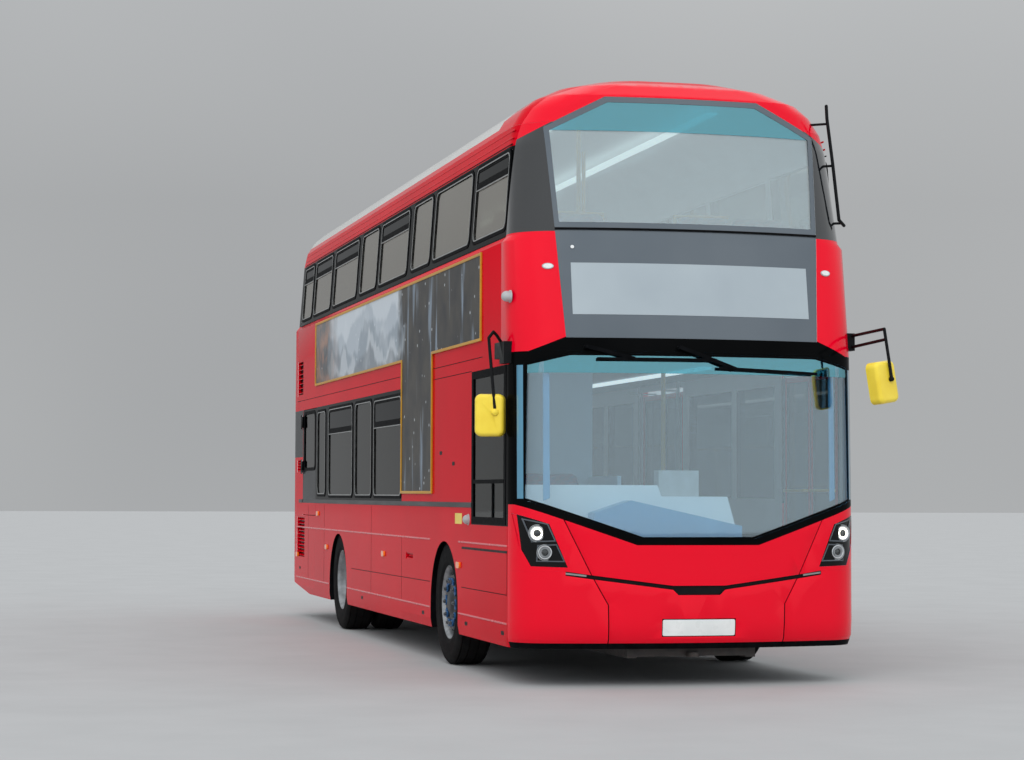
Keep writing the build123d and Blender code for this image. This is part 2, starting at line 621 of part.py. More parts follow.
# Rails and cross members
RAIL_X = 430.0
RAIL_W = 70.0
RAIL_LOW = 190.0
RAIL_REAR_LOW = 600.0
RAILS = (180.0, LENGTH - 120)
CROSS_MEMBERS = (215.0, 1700.0, 3300.0, 4700.0, 6000.0)
REAR_CROSS_MEMBERS = (6800.0, REAR_AXLE + 760, LENGTH - 1100, LENGTH - 170)
MEMBER_HALF = 35.0
OUTRIGGERS = (1300.0, 3600.0, 4900.0, 6000.0)
OUTRIGGER_HALF = 25.0
# Tow lugs with an upright pin bore. Columns: station of the bore, height of the lug's underside, member.
TOW_EYES = [(135.0, 200.0, CROSS_MEMBERS[0]), (LENGTH - 105, 610.0, REAR_CROSS_MEMBERS[-1])]
TOW_LUG = 30.0
TOW_R = 22.0
TOW_WALL = 18.0


def make_chassis():
    """Rails cut clear of the front axle, cross members with tow lugs, and outriggers under the floor."""
    high, rear_high = FLOOR_Z - FLOOR, REAR_FLOOR_Z - FLOOR
    kick = at(REAR_FLOOR_START) + FLOOR + 2
    outline = [(at(RAILS[0]), RAIL_LOW), (at(RAILS[0]), high), (kick, high), (kick, rear_high),
               (at(RAILS[1]), rear_high), (at(RAILS[1]), RAIL_REAR_LOW), (kick + 160, RAIL_REAR_LOW),
               (kick + 60, RAIL_LOW)]
    clear = 75.0
    beam_room = block(EVERYWHERE, (at(FRONT_AXLE) - clear, at(FRONT_AXLE) + clear), (0, high + 1))
    rails, members = [], []
    for side in (-1, 1):
        rail = outline_yz(outline, side * RAIL_X - RAIL_W / 2, side * RAIL_X + RAIL_W / 2)
        rails += (rail - beam_room).solids()
        reach = sorted((side * (RAIL_X + RAIL_W / 2), side * (HALF - WALL - 20)))
        for station in OUTRIGGERS:
            members.append(block(reach, (at(station) - OUTRIGGER_HALF, at(station) + OUTRIGGER_HALF),
                                 (RAIL_LOW + RAIL_W, high)))
    between = (-RAIL_X + RAIL_W / 2, RAIL_X - RAIL_W / 2)
    rows = ((CROSS_MEMBERS, RAIL_LOW, high), (REAR_CROSS_MEMBERS, RAIL_REAR_LOW, rear_high))
    for stations, low, top in rows:
        for station in stations:
            y = at(station)
            member = block(between, (y - MEMBER_HALF, y + MEMBER_HALF), (low + 10, top - 10))
            for eye, z, carrier in TOW_EYES:
                if carrier == station:
                    reach = TOW_R + TOW_WALL
                    member += Pos(0, at(eye), z + TOW_LUG / 2) * Cylinder(reach, TOW_LUG) \
                        + block((-reach, reach), sorted((at(eye), at(station))), (z, z + TOW_LUG))
                    member = member - Pos(0, at(eye), z + TOW_LUG / 2) * Cylinder(TOW_R, 2 * TOW_LUG)
            members.append(member)
    return {"chassis_frame": Compound(children=rails),
            "cross_members": Compound(children=[s for member in members for s in member.solids()])}


KINGPIN_R = 25.0
KINGPIN_H = 230.0
EYE_R = 52.0
EYE_HALF = 60.0
BEAM_HALF = 50.0
FORK_R = 50.0
FORK_H = 50.0
FORK_Z = 90.0
FRONT_STUB = WHEEL_FACE - 60.0
REAR_STUB = WHEEL_FACE - 90.0
AXLE_TUBE_R = 90.0
# The final drive. Columns: X of its middle, radius, width.
DRIVE = (-150.0, 200.0, 160.0)
PAD_HALF_X, PAD_HALF_Y = 30.0, 45.0
ENGINE_X = (-300.0, 700.0)
ENGINE_TOP = 1380.0


def make_axles():
    """The dropped front axle beam, the rear axle on its pads, and the engine."""
    high, rear_high = FLOOR_Z - FLOOR, REAR_FLOOR_Z - FLOOR
    bend = FRONT_BOX[0]
    beam = outline_xz(both([(-bend - 20, high), (-KINGPIN_X, TYRE_R + 40), (-KINGPIN_X, TYRE_R - 40),
                            (-KINGPIN_X + 75, TYRE_R - 45), (-bend - 60, RAIL_LOW + 25),
                            (-bend + 60, RAIL_LOW)]),
                      at(FRONT_AXLE) - BEAM_HALF, at(FRONT_AXLE) + BEAM_HALF)
    for side in (-1, 1):
        kingpin = Pos(side * KINGPIN_X, at(FRONT_AXLE), TYRE_R)
        beam += kingpin * Cylinder(EYE_R, 2 * EYE_HALF)
        beam = beam - kingpin * Cylinder(KINGPIN_R + RUN_GAP, 2 * KINGPIN_H)
    spring = REAR_BOX[0]
    casing = rod((-spring - 20, at(REAR_AXLE), TYRE_R), (spring + 20, at(REAR_AXLE), TYRE_R), AXLE_TUBE_R)
    drive_x, drive_r, drive_w = DRIVE
    casing += Pos(drive_x, at(REAR_AXLE), TYRE_R) * Rot(0, 90, 0) * Cylinder(drive_r, drive_w)
    casing += rod((-REAR_STUB, at(REAR_AXLE), TYRE_R), (REAR_STUB, at(REAR_AXLE), TYRE_R), SPINDLE_R)
    for side in (-1, 1):
        x0, x1 = sorted((side * (RAIL_X - PAD_HALF_X), side * (RAIL_X + PAD_HALF_X)))
        casing += block((x0, x1), (at(REAR_AXLE) - PAD_HALF_Y, at(REAR_AXLE) + PAD_HALF_Y),
                        (TYRE_R, RAIL_REAR_LOW))
    engine = block(ENGINE_X, (at(BULKHEAD + 90), at(LENGTH - 130)), (rear_high, ENGINE_TOP))
    return {"front_axle": beam, "rear_axle": casing, "engine_block": engine}


def make_knuckles():
    """A forked knuckle round each kingpin, with the spindle that its wheel turns on."""
    parts = {}
    for name, side in SIDES:
        x = side * KINGPIN_X
        pin = Pos(x, at(FRONT_AXLE), TYRE_R) * Cylinder(KINGPIN_R, KINGPIN_H)
        fork = Pos(x, at(FRONT_AXLE), TYRE_R + FORK_Z) * Cylinder(FORK_R, FORK_H) \
            + Pos(x, at(FRONT_AXLE), TYRE_R - FORK_Z) * Cylinder(FORK_R, FORK_H)
        face0, face1 = sorted((x + side * 56, x + side * 76))
        plate = block((face0, face1), (at(FRONT_AXLE) - 55, at(FRONT_AXLE) + 55),
                      (TYRE_R - 110, TYRE_R + 110))
        for z in (TYRE_R + FORK_Z, TYRE_R - FORK_Z):
            x0, x1 = sorted((x, x + side * 66))
            plate += block((x0, x1), (at(FRONT_AXLE) - 40, at(FRONT_AXLE) + 40),
                           (z - FORK_H / 2, z + FORK_H / 2))
        spindle = rod((x + side * 70, at(FRONT_AXLE), TYRE_R), (side * FRONT_STUB, at(FRONT_AXLE), TYRE_R),
                      SPINDLE_R)
        parts["knuckle_" + name] = pin + fork + plate + spindle
    return parts


def ring_about_x(profile, x, side):
    """A profile of distance outwards and radius, turned about an axle at X."""
    face = Plane.XY * make_face(Polyline(*[(out, radius) for out, radius in profile], close=True))
    ring = revolve(face, Axis.X, 360)
    if side < 0:
        ring = ring.mirror(Plane.YZ)
    return Pos(x, 0, 0) * ring


def tyre(x, side):
    half, shoulder = TYRE_W / 2, 34.0
    bead = RIM_R + RIM_LIP
    flank = [(half - 20, RIM_R), (half - 8, bead + 12), (half, RIM_R + 95), (half - 6, TYRE_R - shoulder),
             (half - shoulder, TYRE_R - 4)]
    return ring_about_x([(-out, radius) for out, radius in flank] + [(0, TYRE_R)] + flank[::-1], x, side)


def wheel(x, side, dish):
    """A steel disc wheel. dish is where the disc stands, outwards of the wheel's middle."""
    half = TYRE_W / 2 - 20
    barrel = [(-half, RIM_R - 6), (-half, RIM_R), (half, RIM_R), (half, RIM_R - 6), (half - 30, RIM_R - 26),
              (-half + 30, RIM_R - 26)]
    foot = dish - copysign(75, dish)
    plate = [(foot - 10, RIM_R - 20), (foot + 10, RIM_R - 20), (dish + 7, RIM_R - 76), (dish + 7, HUB_R),
             (dish - 7, HUB_R), (dish - 7, RIM_R - 84)]
    disc = ring_about_x(barrel, x, side) + ring_about_x(plate, x, side)
    holes = Pos(x + side * dish, 0, 0) * Rot(0, 90, 0) * PolarLocations(228, 8) * Cylinder(22, 120)
    return disc - holes


def make_wheels():
    """Single wheels in front, twins behind. Each body is a tyre node and a wheel node."""
    parts = {}
    for name, side in SIDES:
        front = Pos(0, at(FRONT_AXLE), TYRE_R)
        rear = Pos(0, at(REAR_AXLE), TYRE_R)
        x = side * WHEEL_X
        dish = 92.0
        parts["front_tyre_" + name] = front * tyre(x, side)
        x0 = KINGPIN_X + 82
        hub = ring_about_x([(x0 - WHEEL_X, HUB_R + 20), (dish - 14, HUB_R + 20), (dish - 14, HUB_R + 30),
                            (dish, HUB_R + 30), (dish + 30, HUB_R - 25), (dish + 36, 20), (dish + 36, 0),
                            (FRONT_STUB + STUB_GAP - WHEEL_X, 0),
                            (FRONT_STUB + STUB_GAP - WHEEL_X, SPINDLE_R + RUN_GAP),
                            (x0 - WHEEL_X, SPINDLE_R + RUN_GAP)], x, side)
        parts["front_wheel_" + name] = front * (wheel(x, side, dish) + hub)
        inner = side * (WHEEL_X - TWIN_PITCH)
        parts["rear_tyre_" + name] = Compound(children=(rear * tyre(x, side)).solids()
                                              + (rear * tyre(inner, side)).solids())
        dish_out, dish_in = -TWIN_PITCH / 2 + 7, TWIN_PITCH / 2 - 7
        end = REAR_BOX[0] + 30 - WHEEL_X
        stop = REAR_STUB + STUB_GAP - WHEEL_X
        rear_hub = ring_about_x([(end, HUB_R + 10), (stop + 10, HUB_R + 10), (stop + 24, HUB_R - 20),
                                 (stop + 24, 0), (stop, 0), (stop, SPINDLE_R + RUN_GAP),
                                 (end, SPINDLE_R + RUN_GAP)], x, side)
        twin = wheel(x, side, dish_out) + wheel(inner, side, dish_in) + rear_hub
        parts["rear_wheel_" + name] = rear * twin
    return parts


def link(points, z0, z1, half):
    """A flat bar along a few points, with round ends."""
    bar = None
    for (ax, ay), (bx, by) in zip(points, points[1:]):
        turn = degrees(atan2(by - ay, bx - ax))
        middle = Pos((ax + bx) / 2, (ay + by) / 2, (z0 + z1) / 2)
        flat = middle * Rot(0, 0, turn) * Box(hypot(bx - ax, by - ay), 2 * half, z1 - z0)
        bar = flat if bar is None else bar + flat
    for x, y in points:
        bar += Pos(x, y, (z0 + z1) / 2) * Cylinder(half, z1 - z0)
    return bar


def leaf_solid(y0, y1, pivot):
    """A door leaf: a frame round one tall pane, with a socket at each end for the arm pins."""
    frame, pane = 45.0, 8.0
    x = (LEAF_X - LEAF / 2, LEAF_X + LEAF / 2)
    low, high = sorted((y0, y1))
    z0, z1 = LEAF_Z
    clear_y, clear_z = (low + frame, high - frame), (z0 + 2 * frame, z1 - frame)
    solid = block(x, (low, high), (z0, z1)) \
        - block(EVERYWHERE, clear_y, clear_z) \
        + block((LEAF_X - pane / 2, LEAF_X + pane / 2), clear_y, clear_z)
    for z in (z0 + PIN_IN / 2, z1 - PIN_IN / 2):
        solid = solid - Pos(pivot[0], pivot[1], z) * Cylinder(PIN_R + RUN_GAP, PIN_IN + 4)
    return solid


def door_arm(points, head):
    """The upright post from the step to the head, an arm above and below the leaf, and their pins."""
    z0, z1 = LEAF_Z
    top = (z1 + ARM_GAP, z1 + ARM_GAP + ARM)
    low = (z0 - ARM_GAP - ARM, z0 - ARM_GAP)
    shape = link(points, *top, ARM_HALF) + link(points, *low, ARM_HALF)
    (px, py), (cx, cy) = points[0], points[-1]
    shape += rod((px, py, FLOOR_Z + SEAT_PLAY), (px, py, head - SEAT_PLAY), POST_R)
    shape += rod((cx, cy, top[0]), (cx, cy, z1 - PIN_IN + 4), PIN_R)
    shape += rod((cx, cy, low[1]), (cx, cy, z0 + PIN_IN - 4), PIN_R)
    return shape


# A gliding leaf: its arm is half as long as the line it slides on, its far edge runs in the doorway.
GLIDE_SPAN = (FRONT_DOORWAY[1] - FRONT_DOORWAY[0]) / 2 - POST_INSET
NEAR_EDGE = 30.0
GLIDE_ARM = (GLIDE_SPAN - 5 + NEAR_EDGE) / 2
# A swing-plug leaf: a cranked arm that carries it out and along, always parallel to the side.
PLUG_POST_X = HALF - 90.0
PLUG_REACH = 280.0
PLUG_OUT = 50.0
PLUG_ARM = hypot(PLUG_REACH, LEAF_X - PLUG_POST_X)
PLUG_START = degrees(asin((LEAF_X - PLUG_POST_X) / PLUG_ARM))
PLUG_END = degrees(asin((HALF + PLUG_OUT - PLUG_POST_X) / PLUG_ARM))
PLUG_SWING = 180.0 - PLUG_START - PLUG_END


def make_doors():
    """Entrance leaves that glide inwards and exit leaves that swing out and along."""
    parts = {}
    for name, edge, along in (("fore", FRONT_DOORWAY[0], 1), ("aft", FRONT_DOORWAY[1], -1)):
        py = at(edge) + along * POST_INSET
        pivot = (LEAF_X, py + along * GLIDE_ARM)
        parts["entrance_arm_" + name] = door_arm([(LEAF_X, py), pivot], DOOR_HEAD_Z)
        edges = (py + along * NEAR_EDGE, py + along * (GLIDE_SPAN - 5))
        parts["entrance_leaf_" + name] = leaf_solid(*edges, pivot)
    crank = HALF + PLUG_OUT - PLUG_POST_X
    turn = radians(90 - PLUG_SWING)
    for name, edge, along in (("fore", CENTRE_DOORWAY[0], 1), ("aft", CENTRE_DOORWAY[1], -1)):
        py = at(edge) + along * 20
        pivot = (LEAF_X, py + along * PLUG_REACH)
        knee = (PLUG_POST_X + crank * sin(turn), py + along * crank * cos(turn))
        parts["exit_arm_" + name] = door_arm([(PLUG_POST_X, py), knee, pivot], LOWER_CEILING_Z)
        middle = at(sum(CENTRE_DOORWAY) / 2)
        parts["exit_leaf_" + name] = leaf_solid(at(edge) + along * 6, middle - along * 4, pivot)
    return parts


def make_emergency_door():
    """The offside emergency door on two outside hinges at its rear edge."""
    y0, y1, z0, z1 = EMERGENCY
    gap = SHUT_GAP
    door = SHELL & block((-2 * HALF, 0), (at(y0 + gap), at(y1)), (z0 + gap, z1 - gap))
    first, last, low, high = EMERGENCY_GLASS
    window = block((-2 * HALF, 0), (at(first), at(last)), (low, high))
    door = door - window
    door += GLAZING & window
    axis = (-HALF - HINGE_OUT, at(EMERGENCY_HINGE))
    for z in EMERGENCY_HINGES:
        strap = (z - STRAP_HALF, z + STRAP_HALF)
        door += rod((*axis, z - HINGE_HALF), (*axis, z + HINGE_HALF), HINGE_R)
        door += block((axis[0] - 8, -HALF), (at(y1 - 70), at(y1)), strap)
        door += block((axis[0] - 8, -HALF - 4), (at(y1) - 5, axis[1]), strap)
    return {"emergency_door": door}


# The T-shaped frame on the offside. Columns of each corner: station, height.
ADVERT_T = [(1213, 3075), (1213, 2427), (2943, 2427), (2943, 1317), (4220, 1317), (4220, 2427),
            (8880, 2427), (8880, 3075)]
ADVERT_FRAME = 22.0
ADVERT_OUT = 16.0


def make_advert():
    """A bare panel in a raised T-shaped frame."""
    rim = ADVERT_FRAME
    (a, top), (_, low), (b, _), (_, foot), (c, _), _, (d, _), _ = ADVERT_T
    inner = [(a + rim, top - rim), (a + rim, low + rim), (b + rim, low + rim), (b + rim, foot + rim),
             (c - rim, foot + rim), (c - rim, low + rim), (d - rim, low + rim), (d - rim, top - rim)]
    outer_yz = [(at(y), z) for y, z in ADVERT_T]
    inner_yz = [(at(y), z) for y, z in inner]
    frame = outline_yz(outer_yz, -HALF - ADVERT_OUT, -HALF) - outline_yz(inner_yz, -HALF - ADVERT_OUT, -HALF)
    panel = outline_yz(inner_yz, -HALF - ADVERT_OUT / 2, -HALF)
    return {"advert_frame": frame, "advert_panel": panel}


# Mirror heads. Columns: X, station and Z of the middle, turn and lean in degrees.
NEAR_HEAD = (HALF + 30, -150.0, 2102.0, 27.0, -9.0)
OFF_HEAD = (-HALF - 118, 450.0, 1862.0, -23.0, 0.0)
MIRROR_SIZE = (205.0, 100.0, 295.0)
MIRROR_CORNER = 45.0
MIRROR_BACK_R = 30.0
ARM_TUBE = 11.0
BOSS_R = 17.0
# Centre lines of the arms. Columns: X, station, Z.
NEAR_ARM = [(HALF - 5, 375.0, 2455.0), (HALF + 23, -195.0, 2472.0), (HALF + 78, -195.0, 2125.0)]
NEAR_BRACE = [(HALF - 5, 375.0, 2375.0), (HALF + 34, -195.0, 2400.0)]
NEAR_BOSS = [(HALF + 78, -195.0, 2125.0), (HALF + 55, -155.0, 2120.0)]
OFF_ARM = [(-HALF - 25, 500.0, 2370.0), (-HALF - 67, 470.0, 2420.0), (-HALF - 94, 455.0, 2443.0),
           (-HALF - 128, 450.0, 2400.0), (-HALF - 124, 445.0, 2337.0), (-HALF - 97, 385.0, 1890.0)]
OFF_BOSS = [(-HALF - 97, 385.0, 1882.0), (-HALF - 107, 425.0, 1877.0)]
# Brackets that the arms stand on. Columns: limits of X, of the station and of Z.
NEAR_BRACKETS = [((HALF - 80, HALF + 15), (330, 420), (2350, 2475))]
OFF_BRACKETS = [((-HALF - 40, -HALF + 40), (370, 650), (2262, 2375)),
                ((-HALF - 40, -HALF + 40), (370, 500), (2222, 2263))]


def mirror_head(x, station, z, turn, lean):
    """A rounded mirror head, its glass plane to the rear before it is turned."""
    width, depth, height = MIRROR_SIZE
    plate = Plane.XZ * Pos(0, 0, -depth / 2) * RectangleRounded(width, height, MIRROR_CORNER)
    head = extrude(plate, depth)
    head = fillet(head.faces().sort_by(Axis.Y)[0].edges(), MIRROR_BACK_R)
    return Pos(x, at(station), z) * Rot(0, lean, 0) * Rot(0, 0, turn) * head


def sum_rods(path, radius):
    """A round tube with ball joints along points in space."""
    tube = None
    for start, end in zip(path, path[1:]):
        length = rod(start, end, radius)
        tube = length if tube is None else tube + length
    for point in path:
        tube += Pos(*point) * Sphere(radius)
    return tube


def run(path, radius):
    """A round tube along points given as X, station and Z."""
    return sum_rods([(x, at(station), z) for x, station, z in path], radius)


def make_mirrors():
    """The two outside mirrors on tube arms from brackets above the lower windscreen."""
    near = mirror_head(*NEAR_HEAD) + run(NEAR_ARM, ARM_TUBE) + run(NEAR_BRACE, ARM_TUBE)
    near += run(NEAR_BOSS, BOSS_R)
    off = mirror_head(*OFF_HEAD) + run(OFF_ARM, ARM_TUBE) + run(OFF_BOSS, BOSS_R)
    solids = []
    for mirror, brackets in ((near, NEAR_BRACKETS), (off, OFF_BRACKETS)):
        for x, (first, last), z in brackets:
            mirror += block(x, (at(first), at(last)), z)
        solids += (mirror - OUTER).solids()
    return {"mirrors": Compound(children=solids)}


# The deflector bar, from its foot upwards, and the heights of its brackets. Columns: X, station, Z.
BAR = [(HALF - 22, 440.0, 3261.0), (HALF - 76, 400.0, 3295.0), (HALF - 105, 444.0, 3701.0),
       (HALF - 135, 480.0, 4038.0), (HALF - 136, 490.0, 4131.0)]
BAR_TUBE = 12.0
BRACKET_TUBE = 9.0
BRACKETS = (3275.0, 3692.0, 4000.0)
BRACKET_SET = 25.0
# Wipers as X and Z. Columns: pivot, elbow, the blade's two ends.
WIPERS = [((-787, 2330), (-473, 2250), (-709, 2245), (109, 2245)),
          ((-139, 2330), (251, 2190), (151, 2190), (880, 2165))]
WIPER_GAP = 40.0
WIPER_ARM, WIPER_BLADE, WIPER_PIVOT = 9.0, 8.0, 14.0


def bar_bracket(z):
    """A rod from the deflector bar to the nearside front corner at one height."""
    points = [Vector(x, at(station), height) for x, station, height in BAR]
    start = next(p + (q - p) * ((z - p.Z) / (q.Z - p.Z))
                 for p, q in zip(points, points[1:]) if p.Z <= z <= q.Z)
    _, nose, _, half, radius, _ = hull_row(z)
    sag = SWEEP - sqrt((SWEEP - radius) ** 2 - (half - radius) ** 2)
    inward = Vector(half - radius, at(nose) + sag, z) - start
    end = start + inward * ((inward.length - radius + BRACKET_SET) / inward.length)
    return rod(tuple(start), tuple(end), BRACKET_TUBE)


def make_trim():
    """The branch deflector bar on the nearside corner and the two wipers."""
    bar = run(BAR, BAR_TUBE)
    for z in BRACKETS:
        bar += bar_bracket(z)
    bar = bar - OUTER
    wipers = []
    for places in WIPERS:
        pivot, elbow, left, right = [(x, front_y(x, z) - WIPER_GAP, z) for x, z in places]
        arm = sum_rods([pivot, elbow], WIPER_ARM) + sum_rods([left, right], WIPER_BLADE)
        arm += rod(pivot, (pivot[0], pivot[1] + WIPER_GAP, pivot[2]), WIPER_PIVOT)
        wipers += (arm - OUTER).solids()
    return {"tree_bar": bar, "wipers": Compound(children=wipers)}


def main():
    parts = {}
    for make in (make_front, make_front_glass, make_lamps, make_sides, make_side_glass, make_rear, make_roof,
                 make_grilles, make_seats, make_lower_floors, make_upper_floor, make_handrails, make_cab,
                 make_steering_wheel, make_chassis, make_axles, make_knuckles, make_wheels, make_doors,
                 make_emergency_door, make_advert, make_mirrors, make_trim):
        parts.update(make())
    for name, shape in parts.items():
        export_step(shape, "parts/" + name + ".step")


main()
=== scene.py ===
"""The finishes and small forms of a double decker bus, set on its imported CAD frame."""

import logging
import math
from dataclasses import dataclass
from enum import Enum
from typing import Callable, Optional, Sequence, Union

import bmesh
import bpy
from mathutils import Matrix, Vector

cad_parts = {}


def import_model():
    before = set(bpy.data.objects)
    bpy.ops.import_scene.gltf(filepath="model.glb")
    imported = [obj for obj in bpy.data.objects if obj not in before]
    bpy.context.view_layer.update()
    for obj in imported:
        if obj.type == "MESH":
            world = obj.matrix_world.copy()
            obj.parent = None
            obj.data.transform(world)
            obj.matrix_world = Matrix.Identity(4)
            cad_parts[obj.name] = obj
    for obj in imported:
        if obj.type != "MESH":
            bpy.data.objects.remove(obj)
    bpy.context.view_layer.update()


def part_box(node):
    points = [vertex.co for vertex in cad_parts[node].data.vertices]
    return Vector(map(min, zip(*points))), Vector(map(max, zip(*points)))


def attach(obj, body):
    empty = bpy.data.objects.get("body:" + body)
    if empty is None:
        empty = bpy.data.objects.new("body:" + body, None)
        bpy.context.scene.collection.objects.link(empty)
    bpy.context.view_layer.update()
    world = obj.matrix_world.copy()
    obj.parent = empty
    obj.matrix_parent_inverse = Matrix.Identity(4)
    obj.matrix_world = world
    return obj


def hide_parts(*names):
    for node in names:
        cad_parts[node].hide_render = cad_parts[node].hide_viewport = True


LOG = logging.getLogger("bus")
MM = 0.001
ROW_ORIGIN = 5125.0
# The distance in metres under which two points of a mesh become one.
MERGE = 2e-5
EVEN = (1.0, 1.0, 1.0)
Pair = tuple[float, float]
Place = tuple[float, float, float]
Limits = tuple[float, float, float, float]
Outline = Sequence[Pair]
Socket = bpy.types.NodeSocket
Tree = bpy.types.NodeTree
Mesh = bmesh.types.BMesh
Points = list[Pair]
Rows = tuple[tuple[float, ...], ...]
Seats = tuple[tuple[float, int, int, float], ...]
Value = Union[float, Sequence[float], Socket]
Picker = Callable[[Vector, Vector], int]
Plane = tuple[Vector, Sequence[float]]


def metres(x: float, station: float, z: float) -> Vector:
    """A point of the row frame from its x, station and height in millimetres."""
    return Vector((x, station - ROW_ORIGIN, z)) * MM


def linear(colour: str) -> Limits:
    """Turns an sRGB hex value into linear light.

    Args:
        colour: Six hex digits after a hash.

    Returns:
        Red, green, blue and an alpha of one.
    """
    channels = [int(colour[i:i + 2], 16) / 255 for i in (1, 3, 5)]
    red, green, blue = (c / 12.92 if c <= 0.04045 else ((c + 0.055) / 1.055) ** 2.4 for c in channels)
    return red, green, blue, 1.0


def per_mm(size: float) -> float:
    """The texture scale that gives a pattern of this size in millimetres."""
    return 1000.0 / size


def add(tree: Tree, kind: str, inputs: Optional[dict[Union[str, int], Value]] = None,
        **settings: object) -> bpy.types.Node:
    """Adds one shader node with its settings and links.

    Args:
        tree: The node tree that the node goes into.
        kind: The node's type name, without the words that all shader nodes start with.
        inputs: For each input, a value or the socket that feeds it.
        settings: Properties of the node.

    Returns:
        The new node.
    """
    made = tree.nodes.new("ShaderNode" + kind)
    for name, value in settings.items():
        setattr(made, name, value)
    for name, value in (inputs or {}).items():
        if isinstance(value, Socket):
            tree.links.new(value, made.inputs[name])
        else:
            made.inputs[name].default_value = value
    return made


def object_coords(tree: Tree) -> Socket:
    """The place on the object, in metres."""
    return add(tree, "TexCoord").outputs["Object"]


def mapped(tree: Tree, coords: Value, scale: Sequence[float],
           turn: Sequence[float] = (0.0, 0.0, 0.0)) -> Socket:
    """Coordinates that are stretched and turned."""
    return add(tree, "Mapping", {"Vector": coords, "Rotation": turn, "Scale": scale}).outputs[0]


def worked(tree: Tree, operation: str, *values: Value) -> Socket:
    """The result of one operation on some values."""
    return add(tree, "Math", dict(enumerate(values)), operation=operation).outputs[0]


def bumped(tree: Tree, height: Value, depth: float) -> Socket:
    """A surface direction that follows a relief of this depth in millimetres."""
    return add(tree, "Bump", {"Height": height, "Strength": 1.0, "Distance": depth * MM}).outputs[0]


def mixed(tree: Tree, share: Value, first: Value, second: Value) -> Socket:
    """Two colours mixed, of which the second shows by its share."""
    return add(tree, "Mix", {0: share, 6: first, 7: second}, data_type="RGBA").outputs[2]


def ranged(tree: Tree, value: Value, start: Sequence[float], end: Sequence[float] = (0.0, 1.0)) -> Socket:
    """Maps a value from one span to another, held at both ends."""
    return add(tree, "MapRange", {"Value": value, "From Min": start[0], "From Max": start[1],
                                  "To Min": end[0], "To Max": end[1]}).outputs[0]


def noise(tree: Tree, coords: Value, size: float, detail: float = 3.0) -> Socket:
    """A noise whose features are about this many millimetres wide, with some finer octaves."""
    return add(tree, "TexNoise", {"Vector": coords, "Scale": per_mm(size), "Detail": detail}).outputs["Fac"]


@dataclass(frozen=True)
class Finish:
    """What every finish has: its name and the record's slot that it belongs to."""

    name: str
    slot: str

    def shader(self, tree: Tree) -> Socket:
        """Builds the finish's nodes and returns its shader."""
        raise NotImplementedError

    def material(self) -> bpy.types.Material:
        """Returns the material of this name, made on first use.

        Returns:
            The material.
        """
        made = bpy.data.materials.get(self.name)
        if made is None:
            made = bpy.data.materials.new(self.name)
            made.use_nodes = True
            made.node_tree.nodes.clear()
            add(made.node_tree, "OutputMaterial", {"Surface": self.shader(made.node_tree)})
        return made


# Road film on low surfaces: its colour, the heights in metres between which it thins out, its streaks.
FILM = "#6e5c54"
FILM_FADE = (0.2, 1.0)
FILM_STREAK = 160.0
COAT_ROUGHNESS = 0.04
# Waves wider than this many millimetres are smooth, without finer octaves.
COARSE = 100.0


@dataclass(frozen=True)
class Surface(Finish):
    """A solid surface with patches of a second tone, a fine grain and road film near the ground."""

    colour: str
    tone: str
    patch: float
    roughness: float
    rough_spread: float = 0.06
    metallic: float = 0.0
    coat: float = 0.0
    grain: float = 0.0
    depth: float = 0.0
    film: float = 0.0
    glow: float = 0.0
    specular: float = 0.5
    stretch: Place = EVEN

    def shader(self, tree: Tree) -> Socket:
        """Builds the surface from its patches, film, roughness and grain.

        Args:
            tree: The node tree.

        Returns:
            The finish's shader.
        """
        coords: Value = object_coords(tree)
        high = add(tree, "SeparateXYZ", {0: coords}).outputs["Z"]
        if self.stretch != EVEN:
            coords = mapped(tree, coords, self.stretch)
        patches = ranged(tree, noise(tree, coords, self.patch), (0.35, 0.65))
        colour = mixed(tree, patches, linear(self.colour), linear(self.tone))
        if self.film:
            low = ranged(tree, high, FILM_FADE, (self.film, 0.0))
            streaks = ranged(tree, noise(tree, coords, FILM_STREAK, 5.0), (0.3, 0.75), (0.3, 1.0))
            colour = mixed(tree, worked(tree, "MULTIPLY", low, streaks), colour, linear(FILM))
        rough = ranged(tree, noise(tree, coords, self.patch * 0.4, 4.0), (0.3, 0.7),
                       (self.roughness - self.rough_spread, self.roughness + self.rough_spread))
        inputs: dict[Union[str, int], Value] = {
            "Base Color": colour, "Roughness": rough, "Metallic": self.metallic, "Coat Weight": self.coat,
            "Coat Roughness": COAT_ROUGHNESS, "Specular IOR Level": self.specular}
        if self.glow:
            inputs.update({"Emission Color": linear(self.colour), "Emission Strength": self.glow})
        if self.grain:
            relief = noise(tree, coords, self.grain, 0.0 if self.grain > COARSE else 2.0)
            inputs["Normal"] = bumped(tree, relief, self.depth)
        return add(tree, "BsdfPrincipled", inputs).outputs["BSDF"]


# How wide the waves in rolled glass are, in millimetres.
GLASS_WAVE = 700.0


